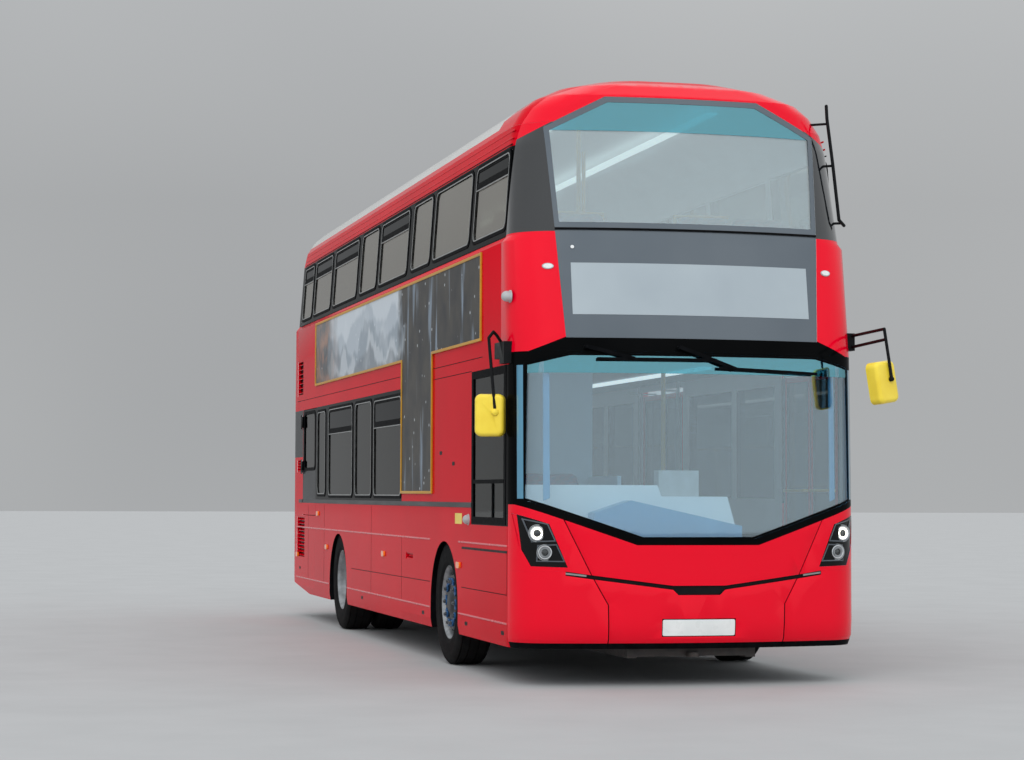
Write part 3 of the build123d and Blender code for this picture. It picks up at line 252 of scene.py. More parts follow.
@dataclass(frozen=True)
class Pane(Finish):
    """Window glass: clear straight through, with a reflection that grows towards a flat view."""

    tint: str
    mirror: str
    glare: float
    wave: float = 0.3

    def shader(self, tree: Tree) -> Socket:
        """Mixes a clear tint with a mirror by how flat the view is.

        Args:
            tree: The node tree.

        Returns:
            The finish's shader.
        """
        bump = bumped(tree, noise(tree, object_coords(tree), GLASS_WAVE, 1.0), self.wave)
        flat = add(tree, "LayerWeight", {"Blend": 0.5, "Normal": bump}).outputs["Facing"]
        share = ranged(tree, worked(tree, "POWER", flat, 5.0), (0.0, 1.0), (self.glare, 1.0))
        clear = add(tree, "BsdfTransparent", {"Color": linear(self.tint)}).outputs[0]
        shine = add(tree, "BsdfPrincipled", {"Base Color": linear(self.mirror), "Metallic": 1.0,
                                             "Roughness": 0.03, "Normal": bump}).outputs[0]
        return add(tree, "MixShader", {0: share, 1: clear, 2: shine}).outputs[0]


@dataclass(frozen=True)
class Moquette(Finish):
    """Wool pile cloth with a small woven check."""

    ground: str
    check: str
    accent: str
    cell: float
    thread: float
    pile: float = 1.5
    turn: Place = (0.5, 0.3, 0.6)

    def shader(self, tree: Tree) -> Socket:
        """Builds the check, the pile and the sheen.

        Args:
            tree: The node tree.

        Returns:
            The finish's shader.
        """
        coords = object_coords(tree)
        weave = mapped(tree, coords, EVEN, self.turn)
        wide = add(tree, "TexChecker", {"Vector": weave, "Color1": linear(self.ground),
                                        "Color2": linear(self.check), "Scale": per_mm(self.cell)})
        small = add(tree, "TexChecker", {"Vector": weave, "Scale": per_mm(self.cell / 3)}).outputs["Fac"]
        share = worked(tree, "MULTIPLY", small, 0.35)
        colour = mixed(tree, share, wide.outputs["Color"], linear(self.accent))
        bump = bumped(tree, noise(tree, coords, self.thread, 2.0), self.pile)
        return add(tree, "BsdfPrincipled", {"Base Color": colour, "Roughness": 0.92, "Sheen Weight": 0.4,
                                            "Normal": bump}).outputs[0]


@dataclass(frozen=True)
class PrintedFilm(Finish):
    """Printed vinyl with soft ridges of mist and a dark end: a design that shows nothing real."""

    sky: str = "#cfd8e0"
    # Ridges from the back forwards. Columns: height in metres, width in millimetres, tone.
    ridges: tuple[tuple[float, float, str], ...] = (
        (2.95, 900.0, "#b4bfc9"), (2.80, 600.0, "#96a2ad"), (2.66, 420.0, "#c3cbd2"),
        (2.56, 760.0, "#7f8891"))

    def shader(self, tree: Tree) -> Socket:
        """Builds layered ridges along the panel, a dark front end and leg, and a warm rear end.

        Args:
            tree: The node tree.

        Returns:
            The finish's shader.
        """
        coords = object_coords(tree)
        along = mapped(tree, coords, (0.0, 1.0, 0.12))
        parts = add(tree, "SeparateXYZ", {0: coords})

        def cloud(size: float, span: Sequence[float], first: str, second: str) -> Socket:
            """Two tones mixed by a cloudy noise.

            Args:
                size: The width of its features.
                span: Where the noise is read.
                first: The first tone.
                second: The second tone.

            Returns:
                The colour.
            """
            share = ranged(tree, noise(tree, coords, size, 5.0), span)
            return mixed(tree, share, linear(first), linear(second))

        colour: Value = linear(self.sky)
        for level, width, tone in self.ridges:
            ridge = ranged(tree, noise(tree, along, width, 4.0), (0.25, 0.75), (level - 0.28, level + 0.22))
            below = worked(tree, "SUBTRACT", ridge, parts.outputs["Z"])
            colour = mixed(tree, ranged(tree, below, (0.0, 0.05), (0.0, 0.85)), colour, linear(tone))
        mist = ranged(tree, noise(tree, coords, 380.0, 5.0), (0.5, 0.8), (0.0, 0.6))
        colour = mixed(tree, mist, colour, linear("#e3e9ee"))
        slant = mapped(tree, coords, (0.0, 1.0, 0.14), (0.9, 0.0, 0.0))
        streaks = ranged(tree, noise(tree, slant, 150.0, 4.0), (0.56, 0.72), (0.0, 0.75))
        dusk = mixed(tree, streaks, cloud(260.0, (0.35, 0.7), "#45423d", "#292b2f"), linear("#a9bdd2"))
        edge = worked(tree, "MULTIPLY_ADD", noise(tree, coords, 500.0), 1.2, parts.outputs["Y"])
        colour = mixed(tree, ranged(tree, edge, (-0.42, -0.12), (1.0, 0.0)), colour, dusk)
        embers = cloud(170.0, (0.42, 0.62), "#33302f", "#94603c")
        colour = mixed(tree, ranged(tree, edge, (2.95, 3.6), (0.0, 0.8)), colour, embers)
        colour = mixed(tree, ranged(tree, parts.outputs["Z"], (2.30, 2.44), (1.0, 0.0)), colour, dusk)
        specks = add(tree, "TexVoronoi", {"Vector": coords, "Scale": per_mm(130.0)}, feature="F1")
        dots = ranged(tree, specks.outputs["Distance"], (0.06, 0.12), (0.8, 0.0))
        colour = mixed(tree, dots, colour, linear("#dfe6ec"))
        return add(tree, "BsdfPrincipled", {"Base Color": colour, "Roughness": 0.32, "Coat Weight": 0.1,
                                            "Coat Roughness": 0.1, "Specular IOR Level": 0.05}).outputs[0]


# Polyester body paint, sprayed and polished: deep red with a wet gloss, and panels that wave a little.
RED = Surface("polyester_paint_red", "red_paint", "#da001d", "#d0001b", 1400.0, 0.11, 0.01, coat=0.05,
              grain=700.0, depth=0.6, film=0.03, specular=0.01)
FRONT_RED = Surface("moulded_grp_paint_red", "red_paint", "#f00026", "#ea0024", 1400.0, 0.13, 0.01,
                    coat=0.15, grain=800.0, depth=0.25, film=0.02, specular=0.15)
# The same paint on a pressed line's rounded edge, lightened as a painted highlight along the crease.
SWAGE_HIGHLIGHT = Surface("polyester_paint_red_painted_highlight", "red_paint", "#e2404c", "#d93642", 500.0, 0.25, coat=0.3)
WHITE = Surface("polyester_paint_white", "white_paint", "#d9d8d4", "#cfcec9", 800.0, 0.35, coat=0.7,
                grain=600.0, depth=0.8)
# Black ceramic print behind bonded glass: as black as the gaskets, but glossy.
BAND = Surface("ceramic_print_black", "red_paint", "#060708", "#0a0b0c", 500.0, 0.14, 0.02, coat=0.03,
               grain=700.0, depth=0.3, specular=0.01)
# Painted aluminium panels between and behind the windows, dark grey with a soft gloss.
SLATE = Surface("aluminium_panel_slate", "red_paint", "#2b2d2f", "#333538", 400.0, 0.16, 0.02, coat=0.06,
                grain=500.0, depth=0.3, specular=0.02)
PILLAR = Surface("corner_moulding_slate", "red_paint", "#121518", "#16191d", 500.0, 0.1, 0.02, coat=1.0,
                 grain=700.0, depth=0.3)
# Extruded aluminium waist rail, anodised dark.
RAIL = Surface("anodised_aluminium_dark", "black_plastic", "#47484a", "#3c3d3f", 200.0, 0.42, metallic=0.5,
               stretch=(1.0, 0.1, 1.0))
# EPDM rubber gasket: matt black with a dusty bloom.
GASKET = Surface("epdm_rubber_black", "black_plastic", "#0b0c0e", "#121315", 60.0, 0.45, grain=8.0,
                 depth=0.05, specular=0.01)
# Grey beads on the window rubbers and along the nose groove's edge: the light that the rubber and the edge
# catch, painted into their colour.
HIGHLIGHT_GREY = Surface("painted_highlight_grey", "black_plastic", "#9b9d9c", "#8d8f8f", 80.0, 0.35, metallic=0.3)
LINING = Surface("laminate_lining_pale", "grey_laminate", "#e3e7e9", "#dadfe1", 300.0, 0.5)
DASH_WHITE = Surface("moulded_dash_white", "grey_laminate", "#f0f6f9", "#e6eef3", 300.0, 0.4, coat=0.2)
# The pale blue of the dash and the inner pillars stands in for the sky's light falling on them: painted
# light.
PALE_BLUE = Surface("laminate_painted_sky_blue", "grey_laminate", "#a9cbe0", "#9dc1d8", 300.0, 0.4, coat=0.2)
PILLAR_BLUE = Surface("pillar_trim_painted_sky_blue", "grey_laminate", "#4f9cc8", "#4692bf", 300.0, 0.35, coat=0.2)
SIDE_GLASS = Pane("toughened_glass_grey", "tinted_glass", "#949a94", "#fdf6ea", 0.26)
LOWER_GLASS = Pane("toughened_glass_dark", "tinted_glass", "#7d8583", "#74736f", 0.2)
HOPPER_GLASS = Pane("hopper_glass_dark", "tinted_glass", "#272b2e", "#33383a", 0.10)
SCREEN_GLASS = Pane("laminated_glass_hazy", "clear_glass", "#eaf5f6", "#eef7fb", 0.34)
LOWER_SCREEN_GLASS = Pane("laminated_glass_clear", "clear_glass", "#eef7fa", "#e4f2fa", 0.19)
# The lower screen's bonded side edges, blue as a painted reflection of the sky.
SCREEN_EDGE = Surface("bonded_glass_edge_painted_sky", "clear_glass", "#4f8dab", "#47829f", 700.0, 0.08, 0.02, coat=0.8)
TEAL_BAND = Pane("sun_band_teal", "clear_glass", "#80c9d6", "#a0e0ea", 0.42)
# Dark display glass and the print round the upper screen: glossy, with a blue-grey base that is partly their
# own dark tone and partly a painted reflection of the sky.
DISPLAY_SKY_REFLECTION = Surface("display_glazing_painted_reflection", "dark_display", "#4c5761", "#566069", 900.0, 0.12, coat=0.8)
SIGN_BLIND = Surface("blank_sign_blind", "dark_display", "#9eaab2", "#a8b4bb", 700.0, 0.14, coat=1.0)
# Black frames between the headlamp cells, painted grey-blue as the highlight on their stepped edges.
RIDGE_HIGHLIGHT = Surface("abs_black_painted_highlight", "lamp_lens", "#4a5159", "#3e454c", 200.0, 0.2, coat=0.5)
GLOSS_BLACK = Surface("abs_gloss_black", "lamp_lens", "#08090a", "#0c0d0e", 200.0, 0.12, coat=0.12,
                      specular=0.14)
MATT_BLACK = Surface("abs_textured_black", "black_plastic", "#0f1012", "#151618", 80.0, 0.45, grain=4.0,
                     depth=0.1, specular=0.12)
CHROME = Surface("vacuum_metallised_reflector", "lamp_lens", "#d8dadc", "#c4c7ca", 50.0, 0.08, 0.02,
                 metallic=1.0)
LIGHT_RING = Surface("light_guide_white", "lamp_lens", "#fffbe8", "#fffdf4", 50.0, 0.2, glow=2.4)
LAMP_CLEAR = Pane("polycarbonate_clear", "lamp_lens", "#e8ecee", "#e4e8ea", 0.12, 0.0)
AMBER = Surface("polycarbonate_amber", "lamp_lens", "#f07a12", "#e66c0a", 20.0, 0.2, coat=0.8, glow=0.15)
LAMP_RED = Surface("polycarbonate_red", "lamp_lens", "#b90d14", "#a60a10", 20.0, 0.2, coat=0.8, glow=0.1)
LAMP_WHITE = Surface("polycarbonate_white", "lamp_lens", "#eceeee", "#dfe2e3", 20.0, 0.25, coat=0.6)
YELLOW = Surface("abs_yellow", "yellow_plastic", "#fbdf45", "#f4d53a", 120.0, 0.34, coat=0.2, grain=30.0,
                 depth=0.1)
YELLOW_TUBE = Surface("powder_coat_yellow", "yellow_rail", "#e9b820", "#dfae1a", 90.0, 0.38, coat=0.3)
GREY_PLASTIC = Surface("polycarbonate_grey", "grey_laminate", "#b7bbbd", "#a8acae", 60.0, 0.4, coat=0.3)
PLATE_WHITE = Surface("acrylic_plate_white", "white_paint", "#e9ebea", "#dfe2e1", 150.0, 0.3, coat=0.6)
GOLD = Surface("anodised_aluminium_gold", "gold_trim", "#dca42c", "#c9932a", 240.0, 0.38, metallic=0.4,
               stretch=(1.0, 0.1, 1.0))
FLOOR = Surface("painted_floor_pale", "", "#b3b4b5", "#afb0b1", 900.0, 0.7)
PRINT = PrintedFilm("printed_vinyl_mist", "panel_vinyl")
VINYL = Surface("safety_vinyl_blue_grey", "floor_vinyl", "#4e565c", "#6b757c", 9.0, 0.6, grain=6.0,
                depth=0.3)
CLOTH = Moquette("moquette_blue_check", "seat_moquette", "#1d2f5e", "#27407a", "#b33a3f", 54.0, 5.0)
STEEL_BLACK = Surface("chassis_paint_black", "chassis_steel", "#1c1d1f", "#2e2c2a", 90.0, 0.6,
                      grain=12.0, depth=0.3, film=0.25)
IRON = Surface("cast_iron_grey", "engine_iron", "#4a4a49", "#3a3a39", 60.0, 0.7, metallic=0.5, grain=7.0,
               depth=0.4)
# The front wheels' discs, painted dark as the shade in their deep hubs.
HUB_SHADE = Surface("painted_hub_shade", "wheel_steel", "#1f2529", "#171b1e", 60.0, 0.35, grain=10.0,
                     depth=0.1)
WHEEL_SILVER = Surface("painted_steel_silver", "wheel_steel", "#a3a6a9", "#84878a", 60.0, 0.38,
                       metallic=0.6, grain=10.0, depth=0.1)
NUT_STEEL = Surface("zinc_plated_steel", "wheel_steel", "#8d9094", "#6f7276", 12.0, 0.35, metallic=0.9)
NUT_BLUE = Surface("moulded_indicator_blue", "wheel_steel", "#2c5f93", "#244f7d", 20.0, 0.45)
RUBBER = Surface("tyre_rubber_black", "tyre_rubber", "#141517", "#1d1e1f", 70.0, 0.7, grain=9.0,
                 depth=0.35, film=0.05, specular=0.03)
ARM_METAL = Surface("brushed_steel_arm", "arm_steel", "#8f9295", "#7b7e81", 30.0, 0.32, metallic=1.0,
                    stretch=(1.0, 1.0, 0.08))
LAMP_STRIP = Surface("diffuser_strip_white", "grey_laminate", "#f2f6f4", "#eaf0ee", 200.0, 0.5, glow=1.0)
MIRROR_FACE = Surface("silvered_glass", "clear_glass", "#c8ced2", "#bfc6ca", 200.0, 0.04, 0.01,
                      metallic=1.0)


class Wall(Enum):
    """The side of the body that a thin form is laid on."""

    NOSE = "nose"
    OFFSIDE = "offside"
    NEARSIDE = "nearside"


@dataclass(frozen=True)
class Hull:
    """The body's outer form, but for its tail. Columns: height, nose, half width and front corner radius."""

    rows: Rows = (
        (260, 60, 1248, 300), (330, 12, 1260, 312), (430, 0, 1260, 316), (1100, 0, 1260, 320),
        (2300, 28, 1260, 330), (3085, 158, 1260, 330), (3127, 165, 1226, 330), (3790, 310, 1180, 330),
        (3930, 342, 1152, 340), (4050, 368, 1080, 350), (4130, 388, 985, 360), (4220, 500, 800, 380),
        (4290, 700, 560, 360), (4345, 1080, 280, 200))
    sweep: float = 4300.0

    def row(self, z: float) -> tuple[float, ...]:
        """The table read at a height between its rows.

        Args:
            z: The height.

        Returns:
            The row's values.
        """
        z = min(max(z, self.rows[0][0]), self.rows[-1][0])
        for low, high in zip(self.rows, self.rows[1:]):
            if z <= high[0]:
                share = (z - low[0]) / (high[0] - low[0])
                return tuple(a + share * (b - a) for a, b in zip(low, high))
        return self.rows[-1]

    def nose(self, x: float, z: float) -> float:
        """The station of the nose at a place in front view.

        Args:
            x: How far it is from the middle.
            z: Its height.

        Returns:
            Its station.
        """
        _, nose, half, radius = self.row(z)
        reach = math.sqrt((self.sweep - radius) ** 2 - (half - radius) ** 2)
        x = min(abs(x), half)
        if x <= self.sweep * math.cos(math.atan2(reach, half - radius)):
            return nose + self.sweep - math.sqrt(self.sweep ** 2 - x ** 2)
        return nose + self.sweep - reach - math.sqrt(max(radius ** 2 - (x - half + radius) ** 2, 0.0))

    def point(self, wall: Wall, across: float, z: float, out: float) -> Vector:
        """A point on or off the body.

        Args:
            wall: The side that it is on.
            across: Its x on the nose, or its station on a side.
            z: Its height.
            out: How far it stands off the body.

        Returns:
            The point in metres.
        """
        if wall is Wall.NOSE:
            return metres(across, self.nose(across, z) - out, z)
        side = -1 if wall is Wall.OFFSIDE else 1
        return metres(side * (self.row(z)[2] + out), across, z)


HULL = Hull()


def rounded(u0: float, u1: float, z0: float, z1: float, radius: float, steps: int = 5) -> Points:
    """The outline of a rectangle with round corners.

    Args:
        u0: Its lowest place across.
        u1: Its highest place across.
        z0: Its lowest height.
        z1: Its highest height.
        radius: The corner radius.
        steps: Points in each corner, less one.

    Returns:
        The outline's points in order.
    """
    points = []
    for cu, cz, start in ((u1 - radius, z1 - radius, 0), (u0 + radius, z1 - radius, 90),
                          (u0 + radius, z0 + radius, 180), (u1 - radius, z0 + radius, 270)):
        for step in range(steps + 1):
            angle = math.radians(start + 90 * step / steps)
            points.append((cu + radius * math.cos(angle), cz + radius * math.sin(angle)))
    return points


def disc(u: float, z: float, radius: float, steps: int = 24, squash: float = 1.0) -> Points:
    """The outline of a circle, or of an oval where squash isn't one."""
    turns = [math.tau * step / steps for step in range(steps)]
    return [(u + radius * math.cos(turn), z + squash * radius * math.sin(turn)) for turn in turns]


def mirrored(half: Outline) -> Points:
    """A whole outline from its right half, which runs from the top downwards."""
    other = [(-x, z) for x, z in half]
    return other[:1] + list(half) + other[:0:-1]


def level(z: float) -> Plane:
    """The level plane at a height in millimetres."""
    return metres(0, 0, z), (0, 0, 1)


def tilt(angle: float, axis: str) -> Matrix:
    """A turn about an axis by an angle in degrees."""
    return Matrix.Rotation(math.radians(angle), 4, axis)


def box(bm: Mesh, centre: Sequence[float], size: Sequence[float]) -> None:
    """Adds a box to a mesh by its middle and size, in metres."""
    place = Matrix.Translation(centre) @ Matrix.Diagonal((*size, 1.0))
    bmesh.ops.create_cube(bm, size=1.0, matrix=place)


# How far a thin form starts below the surface, the step between cuts on a bent wall, and how far they reach.
SUNK = -3.0
STEP = 80.0
REACH = 1300.0


class Relief:
    """Thin forms drawn flat, as across, out and height in millimetres, then laid on a wall of the body."""

    def __init__(self, wall: Wall) -> None:
        """Starts an empty drawing for one wall."""
        self.wall = wall
        self.bm = bmesh.new()

    def raised(self, faces: list[bmesh.types.BMFace], out: float) -> None:
        """Pulls flat faces out to their full height.

        Args:
            faces: The flat faces.
            out: Their height off the surface.
        """
        pulled = bmesh.ops.extrude_face_region(self.bm, geom=faces)
        for item in pulled["geom"]:
            if isinstance(item, bmesh.types.BMVert):
                item.co.y = out

    def slab(self, outline: Outline, out: float, sunk: float = SUNK) -> "Relief":
        """A plate over an outline, from below the surface to its height.

        Args:
            outline: Its corners.
            out: How far it stands off the surface.
            sunk: Where it starts, below the surface.

        Returns:
            This drawing.
        """
        face = self.bm.faces.new([self.bm.verts.new((u, sunk, z)) for u, z in outline])
        self.raised([face], out)
        return self

    def ring(self, outer: Outline, inner: Outline, out: float, sunk: float = SUNK) -> "Relief":
        """A band between two outlines with the same number of points.

        Args:
            outer: Its outer edge.
            inner: Its inner edge.
            out: How far it stands off the surface.
            sunk: Where it starts, below the surface.

        Returns:
            This drawing.
        """
        edges = []
        for outline in (outer, inner):
            verts = [self.bm.verts.new((u, sunk, z)) for u, z in outline]
            edges += [self.bm.edges.new(pair) for pair in zip(verts, verts[1:] + verts[:1])]
        self.raised(bmesh.ops.bridge_loops(self.bm, edges=edges)["faces"], out)
        return self

    def box(self, u0: float, u1: float, z0: float, z1: float, out: float, sunk: float = SUNK) -> "Relief":
        """A plain rectangular plate."""
        return self.slab([(u0, z0), (u1, z0), (u1, z1), (u0, z1)], out, sunk)

    def line(self, points: Outline, width: float, out: float, sunk: float = SUNK) -> "Relief":
        """A stripe of even width along some points.

        Args:
            points: The points.
            width: Its width.
            out: How far it stands off the surface.
            sunk: Where it starts, below the surface.

        Returns:
            This drawing.
        """
        for (ua, za), (ub, zb) in zip(points, points[1:]):
            length = math.hypot(ub - ua, zb - za)
            du, dz = (ub - ua) / length * width / 2, (zb - za) / length * width / 2
            self.slab([(ua - du + dz, za - dz - du), (ub + du + dz, zb + dz - du),
                       (ub + du - dz, zb + dz + du), (ua - du - dz, za - dz + du)], out, sunk)
        return self

    def wrapped(self, step: float) -> Mesh:
        """Cuts the drawing where the wall bends and lays it on the body.

        Args:
            step: How far apart the cuts across the nose are.

        Returns:
            The mesh in metres.
        """
        cuts = [((0, 0, row[0]), (0, 0, 1)) for row in HULL.rows]
        if self.wall is Wall.NOSE:
            count = int(REACH / step)
            cuts += [((index * step, 0, 0), (1, 0, 0)) for index in range(-count, count + 1)]
        for place, normal in cuts:
            bmesh.ops.bisect_plane(self.bm, geom=self.bm.verts[:] + self.bm.edges[:] + self.bm.faces[:],
                                   plane_co=place, plane_no=normal, dist=0.01)
        for vert in self.bm.verts:
            vert.co = HULL.point(self.wall, vert.co.x, vert.co.z, vert.co.y)
        bmesh.ops.recalc_face_normals(self.bm, faces=self.bm.faces[:])
        return self.bm

    def made(self, name: str, finish: Finish, body: str = "body", step: float = STEP, bevel: float = 0.0,
             segments: int = 2) -> bpy.types.Object:
        """Lays the drawing on the body as a piece of one finish."""
        return piece(name, self.wrapped(step), [finish], body, bevel=bevel, segments=segments)


def piece(name: str, bm: Mesh, finishes: Sequence[Finish], body: str = "body", sharp: float = 35.0,
          bevel: float = 0.0, segments: int = 2) -> bpy.types.Object:
    """Makes an object of a finished mesh, with its finishes and the body that carries it.

    Args:
        name: The object's name.
        bm: Its mesh, which is freed.
        finishes: Its materials, in the order of its faces' indices.
        body: The CAD body that it rides on.
        sharp: The angle from which an edge is drawn sharp.
        bevel: The width of its broken edges in millimetres.
        segments: How many faces a broken edge has.

    Returns:
        The object.
    """
    mesh = bpy.data.meshes.new(name)
    bm.to_mesh(mesh)
    bm.free()
    for finish in finishes:
        mesh.materials.append(finish.material())
    mesh.polygons.foreach_set("use_smooth", [True] * len(mesh.polygons))
    mesh.set_sharp_from_angle(angle=math.radians(sharp))
    made = bpy.data.objects.new(name, mesh)
    bpy.context.scene.collection.objects.link(made)
    if bevel:
        rounding = made.modifiers.new("broken_edges", "BEVEL")
        rounding.width = bevel * MM
        rounding.segments = segments
        rounding.limit_method = "ANGLE"
        rounding.angle_limit = math.radians(sharp)
        rounding.harden_normals = True
    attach(made, body)
    LOG.info("%s: %d faces on %s", name, len(mesh.polygons), body)
    return made


def dress(finish: Finish, *nodes: str) -> None:
    """Gives the material slots of some CAD nodes a finish.

    Args:
        finish: The finish.
        nodes: The CAD nodes.
    """
    for name in nodes:
        for slot in bpy.data.objects[name].material_slots:
            slot.material = finish.material()


# The angle in degrees under which two faces lie flat, and how close to a plane a point lies on it.
FLAT = 0.1
ON_PLANE = 1e-5


def merged(node: str) -> Mesh:
    """A copy of a CAD node's mesh, with its loose triangles joined and its flat faces made whole.

    Args:
        node: The CAD node.

    Returns:
        The mesh.
    """
    bm = bmesh.new()
    bm.from_mesh(bpy.data.objects[node].data)
    bmesh.ops.remove_doubles(bm, verts=bm.verts[:], dist=MERGE)
    bmesh.ops.dissolve_limit(bm, angle_limit=math.radians(FLAT), verts=bm.verts[:], edges=bm.edges[:])
    return bm


def split(bm: Mesh, place: Vector, normal: Sequence[float]) -> None:
    """Cuts a mesh's faces along a plane, without opening it."""
    bmesh.ops.bisect_plane(bm, geom=bm.verts[:] + bm.edges[:] + bm.faces[:], plane_co=place, plane_no=normal,
                           dist=ON_PLANE)


def plain(middle: Vector, normal: Vector) -> int:
    """The first finish for every face."""
    return 0


def refit(node: str, finishes: Sequence[Finish], pick: Picker, body: str = "body", cuts: Sequence[Plane] = (),
          sharp: float = 30.0, bevel: float = 0.0) -> None:
    """Replaces a CAD node by its merged copy, cut and painted by place.

    Args:
        node: The CAD node.
        finishes: The finishes to choose from.
        pick: Gives a face's finish from its middle, in millimetres with the station as y, and its normal.
        body: The body that the node rides on.
        cuts: Planes along which the paint changes.
        sharp: The angle from which an edge is sharp.
        bevel: The width of broken edges in millimetres.
    """
    bm = merged(node)
    for place, normal in cuts:
        split(bm, place, normal)
    for face in bm.faces:
        middle = face.calc_center_median() / MM
        middle.y += ROW_ORIGIN
        face.material_index = pick(middle, face.normal)
    made = piece(node + "_finished", bm, finishes, body, sharp, bevel)
    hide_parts(node)


def tube(bm: Mesh, points: Sequence[Vector], radius: float, sides: int = 12) -> None:
    """Adds a round bar with ball joints along some points.

    Args:
        bm: The mesh that it goes into, in metres.
        points: The bar's corners in metres.
        radius: Its radius in millimetres.
        sides: How many sides it has.
    """
    for start, end in zip(points, points[1:]):
        run = end - start
        place = Matrix.Translation((start + end) / 2) @ run.to_track_quat("Z", "Y").to_matrix().to_4x4()
        bmesh.ops.create_cone(bm, cap_ends=True, segments=sides, radius1=radius * MM, radius2=radius * MM,
                              depth=run.length, matrix=place)
    for point in points[1:-1]:
        bmesh.ops.create_uvsphere(bm, u_segments=sides, v_segments=8, radius=radius * MM,
                                  matrix=Matrix.Translation(point))


def turned(bm: Mesh, profile: Outline, centre: Vector, axis: Vector, steps: int = 48,
           index: int = 0) -> None:
    """Spins a profile of distance along an axis and radius about it.

    Args:
        bm: The mesh that the form goes into, in metres.
        profile: The profile's points in millimetres.
        centre: Where the axis starts, in metres.
        axis: The axis' direction.
        steps: Faces round.
        index: The material of the new faces.
    """
    out = axis.normalized()
    side = out.orthogonal().normalized()
    verts = [bm.verts.new(centre + out * a * MM + side * max(r, 0.01) * MM) for a, r in profile]
    edges = [bm.edges.new(pair) for pair in zip(verts, verts[1:])]
    before = set(bm.faces)
    bmesh.ops.spin(bm, geom=verts + edges, cent=centre, axis=out, angle=math.tau, steps=steps, use_merge=True)
    new = [face for face in bm.faces if face not in before]
    bmesh.ops.remove_doubles(bm, verts=list({v for face in new for v in face.verts}), dist=MERGE)
    new = [face for face in bm.faces if face not in before]
    bmesh.ops.recalc_face_normals(bm, faces=new)
    for face in new:
        face.material_index = index


@dataclass
class Studio:
    """The floor, the light and the camera of the photograph."""

    lens: float = 84.27
    sensor: float = 36.0
    sight: float = 500.0
    place: Place = (-5.1576, -20.8592, 1.3176)
    yaw: float = 0.2386
    pitch: float = 0.0475
    roll: float = 0.0036
    floor_half: float = 150.0
    sun: float = 1.3
    sun_width: float = 0.9
    sun_from: Place = (0.35, 0.75, -0.75)

    def build(self) -> None:
        """Sets up the view, the floor, the sky and the lamp."""
        self.camera()
        self.floor()
        self.light()
        LOG.info("studio ready")

    def camera(self) -> None:
        """Puts the camera where the photograph was taken from."""
        data = bpy.data.cameras.new("photo_camera")
        data.lens, data.sensor_width, data.sensor_fit = self.lens, self.sensor, "HORIZONTAL"
        data.clip_end = self.sight
        camera = bpy.data.objects.new("photo_camera", data)
        bpy.context.scene.collection.objects.link(camera)
        ahead = Vector((math.sin(self.yaw) * math.cos(self.pitch), math.cos(self.yaw) * math.cos(self.pitch),
                        math.sin(self.pitch)))
        aside = Vector((math.cos(self.yaw), -math.sin(self.yaw), 0.0))
        right = aside * math.cos(self.roll) + aside.cross(ahead) * math.sin(self.roll)
        up = right.cross(ahead)
        turn = Matrix((right, up, -ahead)).transposed().to_4x4()
        camera.matrix_world = Matrix.Translation(self.place) @ turn
        bpy.context.scene.camera = camera

    def floor(self) -> None:
        """Lays a wide pale floor."""
        bm = bmesh.new()
        bmesh.ops.create_grid(bm, x_segments=1, y_segments=1, size=self.floor_half)
        mesh = bpy.data.meshes.new("studio_floor")
        bm.to_mesh(mesh)
        bm.free()
        mesh.materials.append(FLOOR.material())
        floor = bpy.data.objects.new("studio_floor", mesh)
        bpy.context.scene.collection.objects.link(floor)

    def light(self) -> None:
        """Lights the bus by a soft sky that is paler in front of it, and by one wide soft lamp."""
        scene = bpy.context.scene
        scene.view_settings.view_transform = "Standard"
        scene.world = bpy.data.worlds.new("overcast")
        scene.world.use_nodes = True
        tree = scene.world.node_tree
        tree.nodes.clear()
        coords = object_coords(tree)
        parts = add(tree, "SeparateXYZ", {0: coords})
        cloud = ranged(tree, noise(tree, coords, 420.0, 2.0), (0.35, 0.65))
        far = mixed(tree, cloud, linear("#a2a4a6"), linear("#b2b4b5"))
        low = mixed(tree, ranged(tree, parts.outputs["Y"], (-0.7, 0.6)), linear("#e9eef1"), far)
        sky = mixed(tree, ranged(tree, parts.outputs["Z"], (0.12, 0.7)), low, linear("#f1f4f6"))
        back = add(tree, "Background", {"Color": sky, "Strength": 1.0})
        add(tree, "OutputWorld", {"Surface": back.outputs[0]})
        sun = bpy.data.lights.new("soft_key", "SUN")
        sun.energy, sun.angle = self.sun, self.sun_width
        key = bpy.data.objects.new("soft_key", sun)
        key.rotation_euler = Vector(self.sun_from).to_track_quat("-Z", "Y").to_euler()
        key.visible_glossy = False
        scene.collection.objects.link(key)


@dataclass(frozen=True)
class Zone:
    """A rectangle with its own paint. Columns: first and last place across, lowest, highest, finish."""

    u0: float
    u1: float
    z0: float
    z1: float
    finish: int

    def holds(self, across: float, z: float) -> bool:
        """Whether a place lies inside."""
        return self.u0 < across < self.u1 and self.z0 < z < self.z1


# The body's core, from which outwards is told: limits of its stations and its heights.
CORE = ((1400.0, 9300.0), (900.0, 3200.0))


def inward(middle: Vector, normal: Vector) -> bool:
    """Whether a face belongs to the inside of the body.

    Args:
        middle: The face's middle.
        normal: Its direction.

    Returns:
        Whether it looks towards the body's core.
    """
    (first, last), (low, high) = CORE
    core = Vector((0.0, min(max(middle.y, first), last), min(max(middle.z, low), high)))
    return (middle - core).normalized().dot(normal) < -0.3


def depth_in(middle: Vector) -> float:
    """How far a place lies inside the skin of nose and sides, in millimetres."""
    return min(middle.y - HULL.nose(middle.x, middle.z), HULL.row(middle.z)[2] - abs(middle.x))


